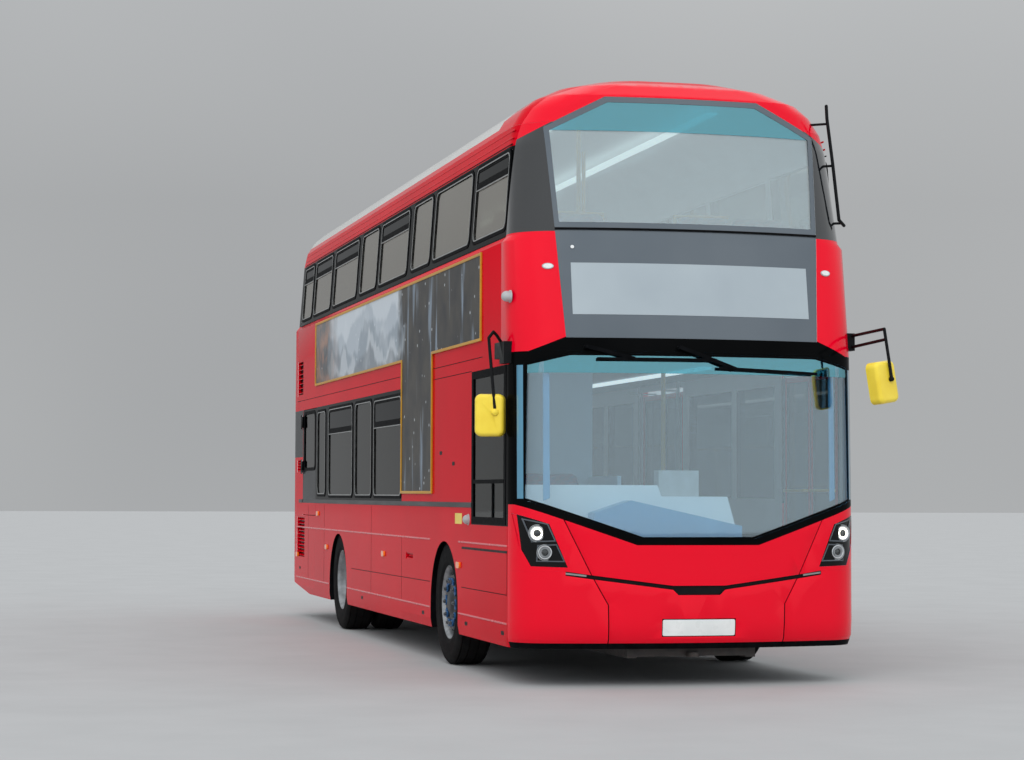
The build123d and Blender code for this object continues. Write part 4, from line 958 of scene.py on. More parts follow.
SHELL = (RED, BAND, SLATE, PILLAR, WHITE, LINING, GASKET, FRONT_RED, PILLAR_BLUE, RAIL, LOWER_GLASS)
(IS_RED, IS_BAND, IS_SLATE, IS_PILLAR, IS_WHITE, IS_LINING, IS_GASKET, IS_FRONT, IS_BLUE, IS_RAIL,
 IS_GLASS) = range(len(SHELL))
AXLES = FRONT_AXLE, REAR_AXLE = (2500.0, 7440.0)


@dataclass
class BodyShell:
    """The painted panels, split along the bands that the bus shows."""

    crown: float = 3985.0
    # Below this height the bumper is painted black as the shade under its lip.
    foot: float = 300.0
    # The lower edge of the red over the pillars: its bend as x and height, its slope and its drop outwards.
    brow: Place = (1109, 3842, 0.53)
    brow_drop: float = 20.0
    pillar_from: float = 3140.0
    # The black visor over the lower screen: both ends of its slope as x and height, and its level top.
    visor: tuple[Pair, ...] = ((1160, 2300), (913, 2400))
    visor_top: float = 2393.0
    # Depths in the skin from which a face belongs to a recess, to the inner trim, or lies past the reveal.
    recess: float = 4.0
    trim: float = 35.0
    reveal: float = 60.0
    front_end: float = 600.0
    arch_reach: float = 560.0
    arch_top: float = 1000.0
    last_cut: float = 10200.0
    white_from: float = 1300.0
    lower_offside: tuple[Zone, ...] = (
        Zone(1525, 9762, 1216, 1254, IS_RAIL), Zone(4226, 8900, 1254, 2205, IS_BAND),
        Zone(380, 1545, 1092, 2216, IS_BAND), Zone(9752, 10600, 1704, 2205, IS_SLATE))
    lower_nearside: tuple[Zone, ...] = (
        Zone(1700, 4120, 1216, 1254, IS_RAIL), Zone(5380, 9762, 1216, 1254, IS_RAIL),
        Zone(1670, 4150, 1254, 2216, IS_BAND), Zone(5350, 9752, 1254, 2205, IS_BAND),
        Zone(380, 470, 1092, 2300, IS_BAND), Zone(9752, 10600, 1704, 2205, IS_SLATE))
    upper: tuple[Zone, ...] = (Zone(600, 10600, 3130, 3779, IS_BAND),)
    door: tuple[Zone, ...] = (
        Zone(8919, 9653, 1568, 2169, IS_GLASS), Zone(8800, 9800, 1216, 1254, IS_RAIL),
        Zone(8800, 9800, 1254, 1560, IS_SLATE), Zone(8800, 9800, 1560, 2300, IS_BAND))
    rear: tuple[Zone, ...] = (Zone(-99, 20000, 3130, 3779, IS_BAND), Zone(-99, 20000, 1704, 2205, IS_SLATE))
    # The lower edge of the screen's black border: its ends as x and height.
    border: tuple[Pair, ...] = ((1236, 1245), (438, 970))

    def build(self) -> None:
        """Paints every panel."""
        for node, zones in (
                ("lower_side_offside", self.lower_offside), ("lower_side_nearside", self.lower_nearside),
                ("upper_side_offside", self.upper), ("upper_side_nearside", self.upper),
                ("emergency_door", self.door), ("rear_panel", self.rear), ("engine_cover", ())):
            self.side(node, zones, node if node in ("emergency_door", "engine_cover") else "body")
        self.nose()
        self.roof()

    def side(self, node: str, zones: Sequence[Zone], body: str) -> None:
        """Paints one panel by its zones.

        Args:
            node: The CAD node.
            zones: Its rectangles by station and height.
            body: The body that it rides on.
        """
        cuts = [level(height) for height in {z for zone in zones for z in (zone.z0, zone.z1)}]
        for station in {u for zone in zones for u in (zone.u0, zone.u1) if 0 < u < self.last_cut}:
            cuts.append((metres(0, station, 0), (0, 1, 0)))

        def pick(middle: Vector, normal: Vector) -> int:
            """The finish of a face.

            Args:
                middle: The face's middle.
                normal: Its direction.

            Returns:
                The finish's index.
            """
            found = [zone.finish for zone in zones if zone.holds(middle.y, middle.z)]
            if IS_GLASS in found and abs(normal.x) > 0.5:
                return IS_GLASS
            near = min(abs(middle.y - axle) for axle in AXLES) < self.arch_reach
            if near and middle.z < self.arch_top and abs(normal.x) < 0.5:
                return IS_GASKET
            if inward(middle, normal):
                return IS_LINING
            return found[0] if found else IS_RED

        refit(node, SHELL, pick, body, cuts, bevel=2.0)

    def nose(self) -> None:
        """Paints the nose, the bumper, the upper front and the dome."""
        (xa, za), (xb, zb) = self.border

        def edge(x: float) -> float:
            """The height of the black screen border's lower edge."""
            return za if abs(x) > xa else zb if abs(x) < xb else zb + (abs(x) - xb) * (za - zb) / (xa - xb)

        def panel(middle: Vector, normal: Vector) -> int:
            """The finish of a face of the nose panel.

            Args:
                middle: The face's middle.
                normal: Its direction; not used.

            Returns:
                The finish's index.
            """
            deep = depth_in(middle)
            if deep > self.recess:
                # Faces deep in the skin are the inner pillars, blue as painted sky light; shallower ones are
                # black.
                return IS_BLUE if deep > self.trim else IS_GASKET
            return IS_BAND if middle.z > edge(middle.x) else IS_FRONT

        cuts = [level(za), level(zb)]
        for side in (-1, 1):
            cuts.append((metres(side * xb, 0, zb), (za - zb, 0, side * (xb - xa))))
        refit("front_panel", SHELL, panel, cuts=cuts, bevel=3.0)

        def bumper(middle: Vector, normal: Vector) -> int:
            """The finish of a face of the bumper: black along its foot as painted shade, and black in its
            grooves.
            """
            return IS_GASKET if middle.z < self.foot or depth_in(middle) > self.recess else IS_FRONT

        refit("front_bumper", SHELL, bumper, cuts=[level(self.foot)], bevel=3.0)
        (xv, zv), (xt, zt) = self.visor
        xr, zr, slope = self.brow

        def upper(middle: Vector, normal: Vector) -> int:
            """The finish of a face of the upper front.

            Args:
                middle: The face's middle.
                normal: Its direction.

            Returns:
                The finish's index.
            """
            if inward(middle, normal):
                return IS_LINING
            if self.recess < depth_in(middle) < self.reveal and middle.y < self.front_end:
                return IS_GASKET
            x = abs(middle.x)
            visor = zv + max(0.0, (xv - x) / (xv - xt) * (zt - zv)) if x > xt else self.visor_top
            if middle.z < visor:
                return IS_BAND
            brow = zr + max((xr - x) * slope, -self.brow_drop)
            return IS_PILLAR if self.pillar_from < middle.z < brow else IS_FRONT

        cuts = [level(z) for z in (self.visor_top, self.pillar_from, zr - self.brow_drop)]
        cuts += [(metres(side * xr, 0, zr), (side * slope, 0, 1)) for side in (-1, 1)]
        cuts += [(metres(side * xt, 0, zt), (zt - zv, 0, side * (xv - xt))) for side in (-1, 1)]
        refit("upper_front", SHELL, upper, cuts=cuts, bevel=2.0)
        refit("front_dome", SHELL, lambda middle, normal: IS_LINING if inward(middle, normal) else IS_FRONT,
              bevel=2.0)

    def roof(self) -> None:
        """Paints the roof white above its red edge."""
        def pick(middle: Vector, normal: Vector) -> int:
            """The finish of a face of the roof.

            Args:
                middle: The face's middle.
                normal: Its direction.

            Returns:
                The finish's index.
            """
            if inward(middle, normal):
                return IS_LINING
            return IS_WHITE if middle.z > self.crown and middle.y > self.white_from else IS_RED

        cuts = [level(self.crown), (metres(0, self.white_from, 0), (0, 1, 0))]
        refit("roof", SHELL, pick, cuts=cuts, bevel=2.0)


@dataclass(frozen=True)
class Window:
    """One window opening. Columns: first and last station, sill, head, and whether its top part tilts in."""

    u0: float
    u1: float
    z0: float
    z1: float
    hopper: bool = False

    def outline(self, by: float, radius: float) -> Points:
        """The opening's outline moved inwards by this much, with round corners."""
        return rounded(self.u0 + by, self.u1 - by, self.z0 + by, self.z1 - by, radius)


@dataclass
class SideGlazing:
    """Glass, gaskets and opening hoppers of both sides."""

    lower_offside: tuple[Window, ...] = (
        Window(4245, 5551, 1288, 2160, True), Window(5655, 6523, 1288, 2166),
        Window(6659, 8062, 1287, 2166, True), Window(8243, 8774, 1298, 2160))
    lower_nearside: tuple[Window, ...] = (
        Window(1830, 2730, 1288, 2160), Window(2850, 3980, 1288, 2160, True),
        Window(5655, 6523, 1288, 2166), Window(6659, 8062, 1287, 2166, True),
        Window(8243, 9650, 1298, 2160, True))
    upper: tuple[Window, ...] = (
        Window(649, 1715, 3184, 3753, True), Window(1830, 3187, 3184, 3753),
        Window(3299, 4089, 3184, 3753), Window(4262, 5582, 3184, 3753, True),
        Window(5706, 6572, 3184, 3753), Window(6746, 8117, 3184, 3753, True),
        Window(8269, 9349, 3184, 3753, True), Window(9473, 10120, 3184, 3753, True))
    deck: float = 2300.0
    lip: float = 14.0
    cover: float = 20.0
    bead: float = 9.0
    corner: float = 62.0
    # A hopper: its share of the window's height, its bar's half width, and its frame's two edges and pane.
    # Columns of these three: in from each end, above the bar, below the head, corner radius.
    hopper_share: float = 0.27
    bar: float = 22.0
    hopper: Rows = ((26, 18, 24, 30), (46, 34, 42, 20), (44, 32, 40, 20))
    # The driver's window. Columns: first and last station, lowest and highest, and the bars' height too.
    cab: Rows = ((460, 1535, 1098, 2216), (520, 1480, 1150, 2160))
    cab_bars: Rows = ((500, 1490, 1392, 1420, 4.0), (860, 884, 1150, 1400, 3.0))
    door: Window = Window(8919, 9653, 1568, 2169)

    def build(self) -> None:
        """Builds the gaskets, the grey bead along each, which is a painted highlight, and the hoppers of both
        sides.
        """
        refit("side_windows", (SIDE_GLASS, LOWER_GLASS), lambda middle, normal: int(middle.z < self.deck))
        forms = (("window_gaskets", GASKET, 1.5), ("window_beads", HIGHLIGHT_GREY, 0.0), ("hopper_frames", GASKET, 1.5),
                 ("hopper_panes", HOPPER_GLASS, 0.0))
        for wall, rows in ((Wall.OFFSIDE, self.lower_offside), (Wall.NEARSIDE, self.lower_nearside)):
            drawings = [Relief(wall) for _ in forms]
            for window in rows + self.upper:
                self.frame(window, *drawings)
            for drawing, (name, finish, bevel) in zip(drawings, forms):
                drawing.made(f"{name}_{wall.value}", finish, bevel=bevel)
        self.cab_window()
        gasket = Relief(Wall.OFFSIDE).ring(self.door.outline(-self.lip, self.corner + self.lip),
                                           self.door.outline(self.cover, self.corner), 4.0, -4.0)
        gasket.made("emergency_door_gasket", GASKET, "emergency_door", bevel=1.5)

    def frame(self, window: Window, gaskets: Relief, bead_highlights: Relief, hoppers: Relief, vents: Relief) -> None:
        """Draws one window's gasket, its bead and its hopper.

        Args:
            window: The opening.
            gaskets: The drawing that takes the rubber.
            bead_highlights: The drawing that takes the grey bead, the rubber's painted highlight.
            hoppers: The drawing that takes the hopper's frame.
            vents: The drawing that takes the hopper's dark pane.
        """
        inner = window.outline(self.cover, self.corner)
        gaskets.ring(window.outline(-self.lip, self.corner + self.lip), inner, 5.0, -5.0)
        bead_highlights.ring(window.outline(self.cover - self.bead, self.corner), inner, 6.5, -4.0)
        if window.hopper:
            u0, u1, z1 = window.u0, window.u1, window.z1
            z = z1 - (z1 - window.z0) * self.hopper_share
            hoppers.box(u0 + self.cover, u1 - self.cover, z - self.bar, z + self.bar, 4.0, -6.0)
            outer, inner, pane = (rounded(u0 + end, u1 - end, z + foot, z1 - head, radius)
                                  for end, foot, head, radius in self.hopper)
            hoppers.ring(outer, inner, 3.0, -5.0)
            vents.slab(pane, -1.0, -4.0)
            bead_highlights.box(u0 + self.cover, u1 - self.cover, z - self.bar - 3, z - self.bar + 5, 5.0, -5.0)

    def cab_window(self) -> None:
        """Frames the driver's side window with its lower sliding pane."""
        outer, inner = ([(u0, z0), (u1, z0), (u1, z1), (u0, z1)] for u0, u1, z0, z1 in self.cab)
        frame = Relief(Wall.OFFSIDE).ring(outer, inner, 4.0, -6.0)
        for bar in self.cab_bars:
            frame.box(*bar, -6.0)
        frame.made("cab_window_frame", GASKET, bevel=1.5)


@dataclass
class Front:
    """The nose's lamps, screen borders, plate, sign and inner trims."""

    # The cells of the headlamp unit, as corners in front view on the offside.
    cells: tuple[tuple[Pair, ...], ...] = (
        ((-1196, 1146), (-1046, 1112), (-995, 998), (-1143, 992)),
        ((-1106, 966), (-987, 972), (-934, 858), (-1113, 860)))
    # The lamps in them. Columns: x, height, radius, and whether a ring of light lies round it.
    beams: tuple[tuple[float, float, float, bool], ...] = ((1111, 1050, 47, True), (1062, 919, 43, False))
    # The line past which a lamp unit is painted. Columns: x, height, slope.
    lamp_edge: Place = (1204, 978, 0.097)
    amidships: float = 5000.0
    rear_amber: Pair = (1560, 1720)
    marker: Pair = (1019, 2892)
    round_marker: Pair = (-848, 3029)
    screen_split: float = 2500.0
    # Right halves of outlines in front view, from the top downwards.
    lower_border: tuple[Outline, Outline] = (((900, 2290), (1190, 2222), (1205, 1262), (410, 996)),
                                             ((892, 2270), (1166, 2204), (1181, 1290), (398, 1026)))
    upper_border: tuple[Outline, Outline] = (((563, 4124), (1006, 3898), (966, 3160)),
                                             ((545, 4078), (962, 3868), (929, 3206)))
    sun_bands: tuple[Outline, Outline] = (((545, 4078), (960, 3869)),
                                          ((892, 2270), (1166, 2204), (1167, 2150)))
    # The black strip in the nose's groove: its middle is the badge, its arms are painted shade in the groove.
    groove: Outline = ((187, 691), (187, 667), (150, 631))
    groove_arm_shade: Outline = ((925, 788), (750, 763), (187, 691), (187, 667), (750, 740), (925, 764))
    # The grey strip along the groove's outer edge: a painted highlight.
    groove_highlight: Outline = ((922, 776), (790, 761))
    # Trims of the inner pillars, the bonded edges and a pole at the cab's corner.
    trim_x: Pair = (1018, 1062)
    trim_z: Limits = (1270, 1290, 2200, 2215)
    edge_x: Pair = (1190, 1222)
    edge_z: Pair = (1286, 2206)
    pole: Rows = ((-1177, 430, 2172), (-1142, 430, 1248))
    # The blank sign, the joint over it and the plate. Columns: first and last x, lowest and highest.
    blind: Limits = (-862, 862, 2556, 2918)
    joint: Limits = (-962, 962, 3152, 3166)
    plate: Limits = (-260, 260, 350, 461)

    def build(self) -> None:
        """Builds every form of the front."""
        refit("windscreens", (SCREEN_GLASS, LOWER_SCREEN_GLASS),
              lambda middle, normal: int(middle.z < self.screen_split))
        # The destination glass's blue-grey is partly a painted reflection of the sky.
        dress(DISPLAY_SKY_REFLECTION, "destination_panel")
        self.lamps()
        self.markers()
        self.borders()
        self.trims()
        self.plate_and_groove()

    def lamps(self) -> None:
        """Black lamp units with a ring of light above a lower beam."""
        x0, z0, slope = self.lamp_edge
        low, high = self.rear_amber

        def pick(middle: Vector, normal: Vector) -> int:
            """Rear lamps are red or amber by height, front units black with a painted corner.

            Args:
                middle: The face's middle.
                normal: Its direction; not used.

            Returns:
                The finish's index.
            """
            if middle.y < self.amidships:
                return 3 if abs(middle.x) > x0 + (middle.z - z0) * slope else 0
            return 2 if low < middle.z <= high else 1

        cuts = [(metres(side * x0, 0, z0), (side, 0, -slope)) for side in (-1, 1)]
        refit("lamps", (GLOSS_BLACK, LAMP_RED, AMBER, FRONT_RED), pick, cuts=cuts, bevel=2.0)
        # The cells' black frames take a grey-blue: a painted highlight.
        ridges = Relief(Wall.NOSE)
        for side in (-1, 1):
            for cell in self.cells:
                corners = [(side * -x, z) for x, z in cell]
                ridges.line(corners + corners[:1], 9.0, 4.0, -1.0)
        ridges.made("headlamp_ridges", RIDGE_HIGHLIGHT, step=40.0, bevel=2.0)
        parts = bmesh.new()
        for side in (-1, 1):
            for beam in self.beams:
                self.beam(parts, side, *beam)
        piece("headlamp_rings", parts, (CHROME, WHEEL_SILVER, LIGHT_RING, LAMP_CLEAR))

    def beam(self, parts: Mesh, side: int, x: float, z: float, radius: float, bright: bool) -> None:
        """Spins the rings and the lens of one lamp, square to the nose.

        Args:
            parts: The mesh that they go into.
            side: Minus one on the offside, one on the nearside.
            x: How far the lamp stands from the middle.
            z: Its height.
            radius: Its radius.
            bright: Whether its second ring gives light.
        """
        front = HULL.point(Wall.NOSE, side * x, z, 0.0)
        here, there = (HULL.point(Wall.NOSE, side * (x + reach), z, 0.0) for reach in (-30, 30))
        out = (there - here).cross(Vector((0, 0, 1))) * side
        out = Vector((out.x * 0.35, out.y, 0.0)).normalized()
        if out.y > 0:
            out = -out
        rim = [(-4, radius + 6), (7, radius + 5), (9, radius), (7, radius - 5), (-2, radius - 12)]
        ring = [(3, radius - 6), (9, radius - 9), (9, radius - 18), (3, radius - 21)]
        lens = [(2, radius - 20), (5, 18), (8, 10), (9, 0)]
        seat = [(-1, radius + 8), (2, radius + 8), (2, radius + 14), (-1, radius + 14)]
        shine = 2 if bright else 1
        for profile, steps, index in ((rim, 40, 0), (ring, 40, shine), (lens, 32, 3), (seat, 40, 1)):
            turned(parts, profile, front, out, steps, index)

    def markers(self) -> None:
        """Oval marker lamps in bright bezels, and one small round lamp."""
        lamps, bezels = Relief(Wall.NOSE), Relief(Wall.NOSE)
        x, z = self.marker
        for side in (-1, 1):
            bezels.slab(disc(side * x, z, 40, squash=0.55), 6.0)
            lamps.slab(disc(side * x, z, 32, squash=0.5), 12.0)
        lamps.slab(disc(*self.round_marker, 13, 12), 4.0)
        lamps.made("front_markers", LAMP_WHITE, bevel=3.0)
        bezels.made("front_marker_bezels", CHROME, bevel=2.0)

    def borders(self) -> None:
        """The print round both screens, the upper one with a painted sky reflection in its colour, the trims
        of the pillars and the teal bands across the tops.
        """
        for name, halves, finish in (("lower_screen_border", self.lower_border, BAND),
                                     ("upper_screen_border", self.upper_border, DISPLAY_SKY_REFLECTION)):
            outer, inner = (mirrored(half) for half in halves)
            Relief(Wall.NOSE).ring(outer, inner, -2.0, -9.0).made(name, finish)
        # The inner pillars' trims are blue as painted sky light.
        trims = Relief(Wall.NOSE)
        for side in (-1, 1):
            low, high = sorted(side * x for x in self.trim_x)
            trims.slab(list(zip((low, high, high, low), self.trim_z)), -42.0, -58.0)
        trims.made("screen_pillar_trims", PILLAR_BLUE, bevel=4.0)
        pole = bmesh.new()
        tube(pole, [metres(*end) for end in self.pole], 16.0)
        piece("cab_corner_pole", pole, [DASH_WHITE])
        teal = Relief(Wall.NOSE)
        for half in self.sun_bands:
            teal.slab(mirrored(half), -4.0, -6.0)
        teal.made("sun_bands", TEAL_BAND)

    def trims(self) -> None:
        """The bonded side edges, the blank sign behind the destination glass and the joint over it."""
        # The side edges' blue is a painted reflection of the sky.
        edges = Relief(Wall.NOSE)
        for side in (-1, 1):
            edges.box(*sorted(side * x for x in self.edge_x), *self.edge_z, 1.5)
        edges.made("screen_side_edges", SCREEN_EDGE, step=40.0)
        Relief(Wall.NOSE).box(*self.blind, -4.0, -8.0).made("sign_blind", SIGN_BLIND)
        Relief(Wall.NOSE).box(*self.joint, 2.0).made("screen_joint", GASKET)

    def plate_and_groove(self) -> None:
        """The blank number plate, the black strip in the nose's groove, which is painted shade along its
        arms, and a grey painted highlight on its edge.
        """
        plate = Relief(Wall.NOSE).slab(rounded(*self.plate, 12), 1.0, -8.0)
        plate.made("number_plate", PLATE_WHITE, bevel=2.0)
        groove, bright = Relief(Wall.NOSE), Relief(Wall.NOSE)
        for side in (-1, 1):
            groove.slab([(side * x, z) for x, z in self.groove_arm_shade], -14.0, -22.0)
            bright.line([(side * x, z) for x, z in self.groove_highlight], 12.0, -6.0, -16.0)
        groove.slab(mirrored(self.groove), -14.0, -22.0)
        groove.made("nose_groove_strip", MATT_BLACK)
        bright.made("nose_groove_brights", HIGHLIGHT_GREY)


@dataclass
class Advert:
    """The T-shaped panel with its gold frame."""

    edge: float = 4.0

    def build(self) -> None:
        """Dresses the frame and prints the panel."""
        refit("advert_frame", (GOLD,), plain, bevel=self.edge)
        dress(PRINT, "advert_panel")


@dataclass
class Fittings:
    """Louvres, markers, creases, shut lines, cameras, deflector and wipers."""

    creases_z: Pair = (957.0, 420.0)
    rail_z: float = 1235.0
    ribs_z: Pair = (3838, 3894)
    panel_joints_z: Pair = (3128, 3790)
    # Where the sides are broken. Columns: station, half width, top.
    arches: tuple[Place, ...] = ((FRONT_AXLE, 502, 950), (REAR_AXLE, 502, 925))
    doorways: tuple[Pair, ...] = ((470, 1670), (4150, 5350))
    ends: Pair = (410.0, 10150.0)
    upper_ends: Pair = (640, 10140)
    offside_rail: Pair = (1530, 8860)
    rear_rail: Pair = (9756, 9990)
    flap_strip: Limits = (420, 1860, 906, 922)
    label: Limits = (1866, 2105, 1091, 1171)
    # Shut lines as station and height of both ends.
    both_lines: tuple[Outline, ...] = (((9335, 430), (9335, 1190)), ((8300, 430), (8300, 1205)))
    offside_lines: tuple[Outline, ...] = (
        ((420, 618), (1870, 618)), ((420, 618), (420, 925)), ((3045, 620), (6672, 610)),
        ((4214, 430), (4214, 950)), ((5650, 430), (5650, 1205)), ((1560, 2222), (2900, 2222)),
        ((1200, 2310), (10150, 2310)))
    nearside_lines: tuple[Outline, ...] = (
        ((3045, 620), (4100, 615)), ((5380, 615), (6672, 610)), ((470, 2310), (10150, 2310)))
    # Side markers and fastener covers as station and height.
    lamps: Outline = ((1965, 781), (5039, 790), (8133, 781), (8700, 1110), (10080, 660))
    lamp_by_door: float = 5600.0
    fasteners: Outline = ((1707, 355), (544, 351), (3300, 360), (6100, 360), (9900, 520), (2637, 1635),
                          (2172, 1548))
    # Wiper parts in front view. Columns: both ends and the width.
    wipers: tuple[tuple[Outline, float], ...] = (
        (((-709, 2245), (109, 2245)), 20.0), (((151, 2190), (880, 2165)), 20.0),
        (((-787, 2330), (-473, 2250)), 26.0), (((-139, 2330), (251, 2190)), 26.0))
    # Black boxes behind the louvres, a painted shade in their gaps. Columns: first and last station, lowest
    # and highest.
    louvres: tuple[Limits, ...] = (
        (9760, 10140, 2365, 2742), (9850, 10140, 1540, 1681), (9602, 10140, 630, 1070),
        (3730, 4027, 770, 830))
    louvre_x: float = 1222.0
    # Camera domes. Columns: x or zero where it stands on the wall, station, height, radius, reach.
    domes: Rows = ((0, 1640, 1127, 36, 45), (-1245, 420, 2690, 38, 62))

    def build(self) -> None:
        """Builds the small fittings of both sides."""
        refit("vent_grilles", (RED,), plain)
        dress(MATT_BLACK, "wipers", "tree_bar")
        for wall in (Wall.OFFSIDE, Wall.NEARSIDE):
            self.creases(wall)
            self.markers(wall)
        self.louvre_backs()
        blades = Relief(Wall.NOSE)
        for points, width in self.wipers:
            blades.line(points, width, 49.0, 30.0)
        blades.made("wiper_blades", GASKET, bevel=3.0)
        self.cameras()

    def runs(self, wall: Wall, height: float) -> Points:
        """The stretches of a side, at a height, that no arch or doorway breaks.

        Args:
            wall: The side.
            height: The height.

        Returns:
            The first and last station of each.
        """
        gaps = [(station - half - 14, station + half + 14) for station, half, top in self.arches
                if height < top + 10]
        if wall is Wall.NEARSIDE:
            gaps += self.doorways
        runs, start = [], self.ends[0]
        for low, high in sorted(gaps):
            if low > start:
                runs.append((start, low))
            start = max(start, high)
        return runs + [(start, self.ends[1])]

    def creases(self, wall: Wall) -> None:
        """The two swaged lines, the ribs of the cantrail, the waist rail and the shut lines of a side.

        Args:
            wall: The side.
        """
        offside = wall is Wall.OFFSIDE
        swage, shuts, rail, ribs = Relief(wall), Relief(wall), Relief(wall), Relief(wall)
        for height in self.ribs_z:
            ribs.box(*self.upper_ends, height - 6, height + 6, 3.0)
        for height in self.creases_z:
            for low, high in self.runs(wall, height):
                swage.box(low, high, height - 7, height + 7, 4.0)
        rails = self.runs(wall, self.rail_z)
        if offside:
            first, last = self.offside_rail
            rails = [(max(low, first), min(high, last)) for low, high in rails] + [self.rear_rail]
        for low, high in rails:
            if high > low:
                rail.box(low, high, self.rail_z - 17, self.rail_z + 17, 6.0)
        for points in self.both_lines + (self.offside_lines if offside else self.nearside_lines):
            shuts.line(points, 5.0, 0.7)
        for height in self.panel_joints_z:
            shuts.line([(station, height) for station in self.upper_ends], 8.0, 1.5)
        # The swaged lines' lighter red is a painted highlight.
        for name, drawing, finish, bevel in (
                ("swaged_lines", swage, SWAGE_HIGHLIGHT, 3.0), ("cantrail_ribs", ribs, RED, 2.0),
                ("shut_lines", shuts, GASKET, 0.0), ("waist_rail", rail, RAIL, 2.0)):
            drawing.made(f"{name}_{wall.value}", finish, bevel=bevel)
        if offside:
            Relief(wall).box(*self.flap_strip, 2.0).made("side_flap_strip", MATT_BLACK)

    def markers(self, wall: Wall) -> None:
        """Amber side markers, and small square fastener covers.

        Args:
            wall: The side.
        """
        amber, covers = Relief(wall), Relief(wall)
        low, high = self.doorways[1]
        for u, z in self.lamps:
            if wall is Wall.NEARSIDE and low < u < high:
                u = self.lamp_by_door
            amber.slab(rounded(u - 55, u + 55, z - 24, z + 24, 20), 14.0)
        for u, z in self.fasteners:
            if wall is Wall.OFFSIDE or z < 600 and u > high:
                covers.slab(rounded(u - 45, u + 45, z - 14, z + 14, 12), 1.0)
        amber.made(f"side_markers_{wall.value}", AMBER, bevel=5.0, segments=3)
        covers.made(f"fastener_covers_{wall.value}", MATT_BLACK)

    def louvre_backs(self) -> None:
        """Black boxes behind the louvres: painted shade in their gaps."""
        bm = bmesh.new()
        for side in (-1, 1):
            for u0, u1, z0, z1 in self.louvres:
                centre = metres(side * self.louvre_x, (u0 + u1) / 2, (z0 + z1) / 2)
                box(bm, centre, (0.004, (u1 - u0) * MM, (z1 - z0) * MM))
        piece("louvre_backs", bm, [MATT_BLACK])

    def cameras(self) -> None:
        """Small grey camera domes and a blank yellow label by the cab."""
        bm = bmesh.new()
        for x, station, height, radius, reach in self.domes:
            root = metres(x, station, height) if x else HULL.point(Wall.OFFSIDE, station, height, 0.0)
            dome = [(reach - radius + radius * math.sin(turn), radius * math.cos(turn))
                    for turn in (math.pi / 2 * step / 8 for step in range(9))]
            turned(bm, [(-6, radius + 6), (4, radius + 6), (6, radius)] + dome, root, Vector((-1, 0, 0)), 32)
        piece("camera_domes", bm, [GREY_PLASTIC])
        Relief(Wall.OFFSIDE).slab(rounded(*self.label, 4), 0.8).made("blank_label", YELLOW)


@dataclass
class Mirrors:
    """Outside mirrors with yellow backs on black arms."""

    # The heads. Columns: x, station, height, turn and lean in degrees.
    heads: Rows = ((1290, -150, 2102, 27, -9), (-1378, 450, 1862, -23, 0))
    width: float = 205.0
    depth: float = 100.0
    height: float = 295.0
    rim: float = 9.0
    corner: float = 38.0
    glass: float = 2.5
    clamp: Outline = ((-14, 26), (4, 26), (12, 22), (18, 10), (19, 0))
    clamp_at: Place = (-1357, 385, 1882)

    def place(self, head: Sequence[float]) -> Matrix:
        """The middle and the turn of a head."""
        x, station, z, turn, lean = head
        return Matrix.Translation(metres(x, station, z)) @ tilt(lean, "Y") @ tilt(turn, "Z")

    def build(self) -> None:
        """Paints heads and arms, and adds the mirror faces and the clamp."""
        spaces = [self.place(head).inverted() for head in self.heads]
        limits = (self.width / 2 + 1, self.depth / 2 + 1, self.height / 2 + 1)

        def pick(middle: Vector, normal: Vector) -> int:
            """Heads are yellow, arms and brackets black.

            Args:
                middle: The face's middle.
                normal: Its direction; not used.

            Returns:
                The finish's index.
            """
            point = metres(*middle)
            inside = (all(abs(c / MM) < limit for c, limit in zip(space @ point, limits)) for space in spaces)
            return 0 if any(inside) else 1

        refit("mirrors", (YELLOW, MATT_BLACK), pick, sharp=40.0)
        faces = bmesh.new()
        across, up = self.width / 2 - self.rim, self.height / 2 - self.rim
        for head in self.heads:
            outline = rounded(-across, across, -up, up, self.corner)
            verts = [faces.verts.new(Vector((u, self.depth / 2 - 1, z)) * MM) for u, z in outline]
            pulled = bmesh.ops.extrude_face_region(faces, geom=[faces.faces.new(verts)])["geom"]
            moved = [item for item in pulled if isinstance(item, bmesh.types.BMVert)]
            bmesh.ops.translate(faces, verts=moved, vec=(0.0, self.glass * MM, 0.0))
            bmesh.ops.transform(faces, matrix=self.place(head), verts=verts + moved)
        bmesh.ops.recalc_face_normals(faces, faces=faces.faces[:])
        piece("mirror_faces", faces, [MIRROR_FACE], bevel=1.0)
        clamp = bmesh.new()
        turned(clamp, self.clamp, metres(*self.clamp_at), Vector((0, -1, 0)), 28)
        piece("mirror_clamp", clamp, [YELLOW])


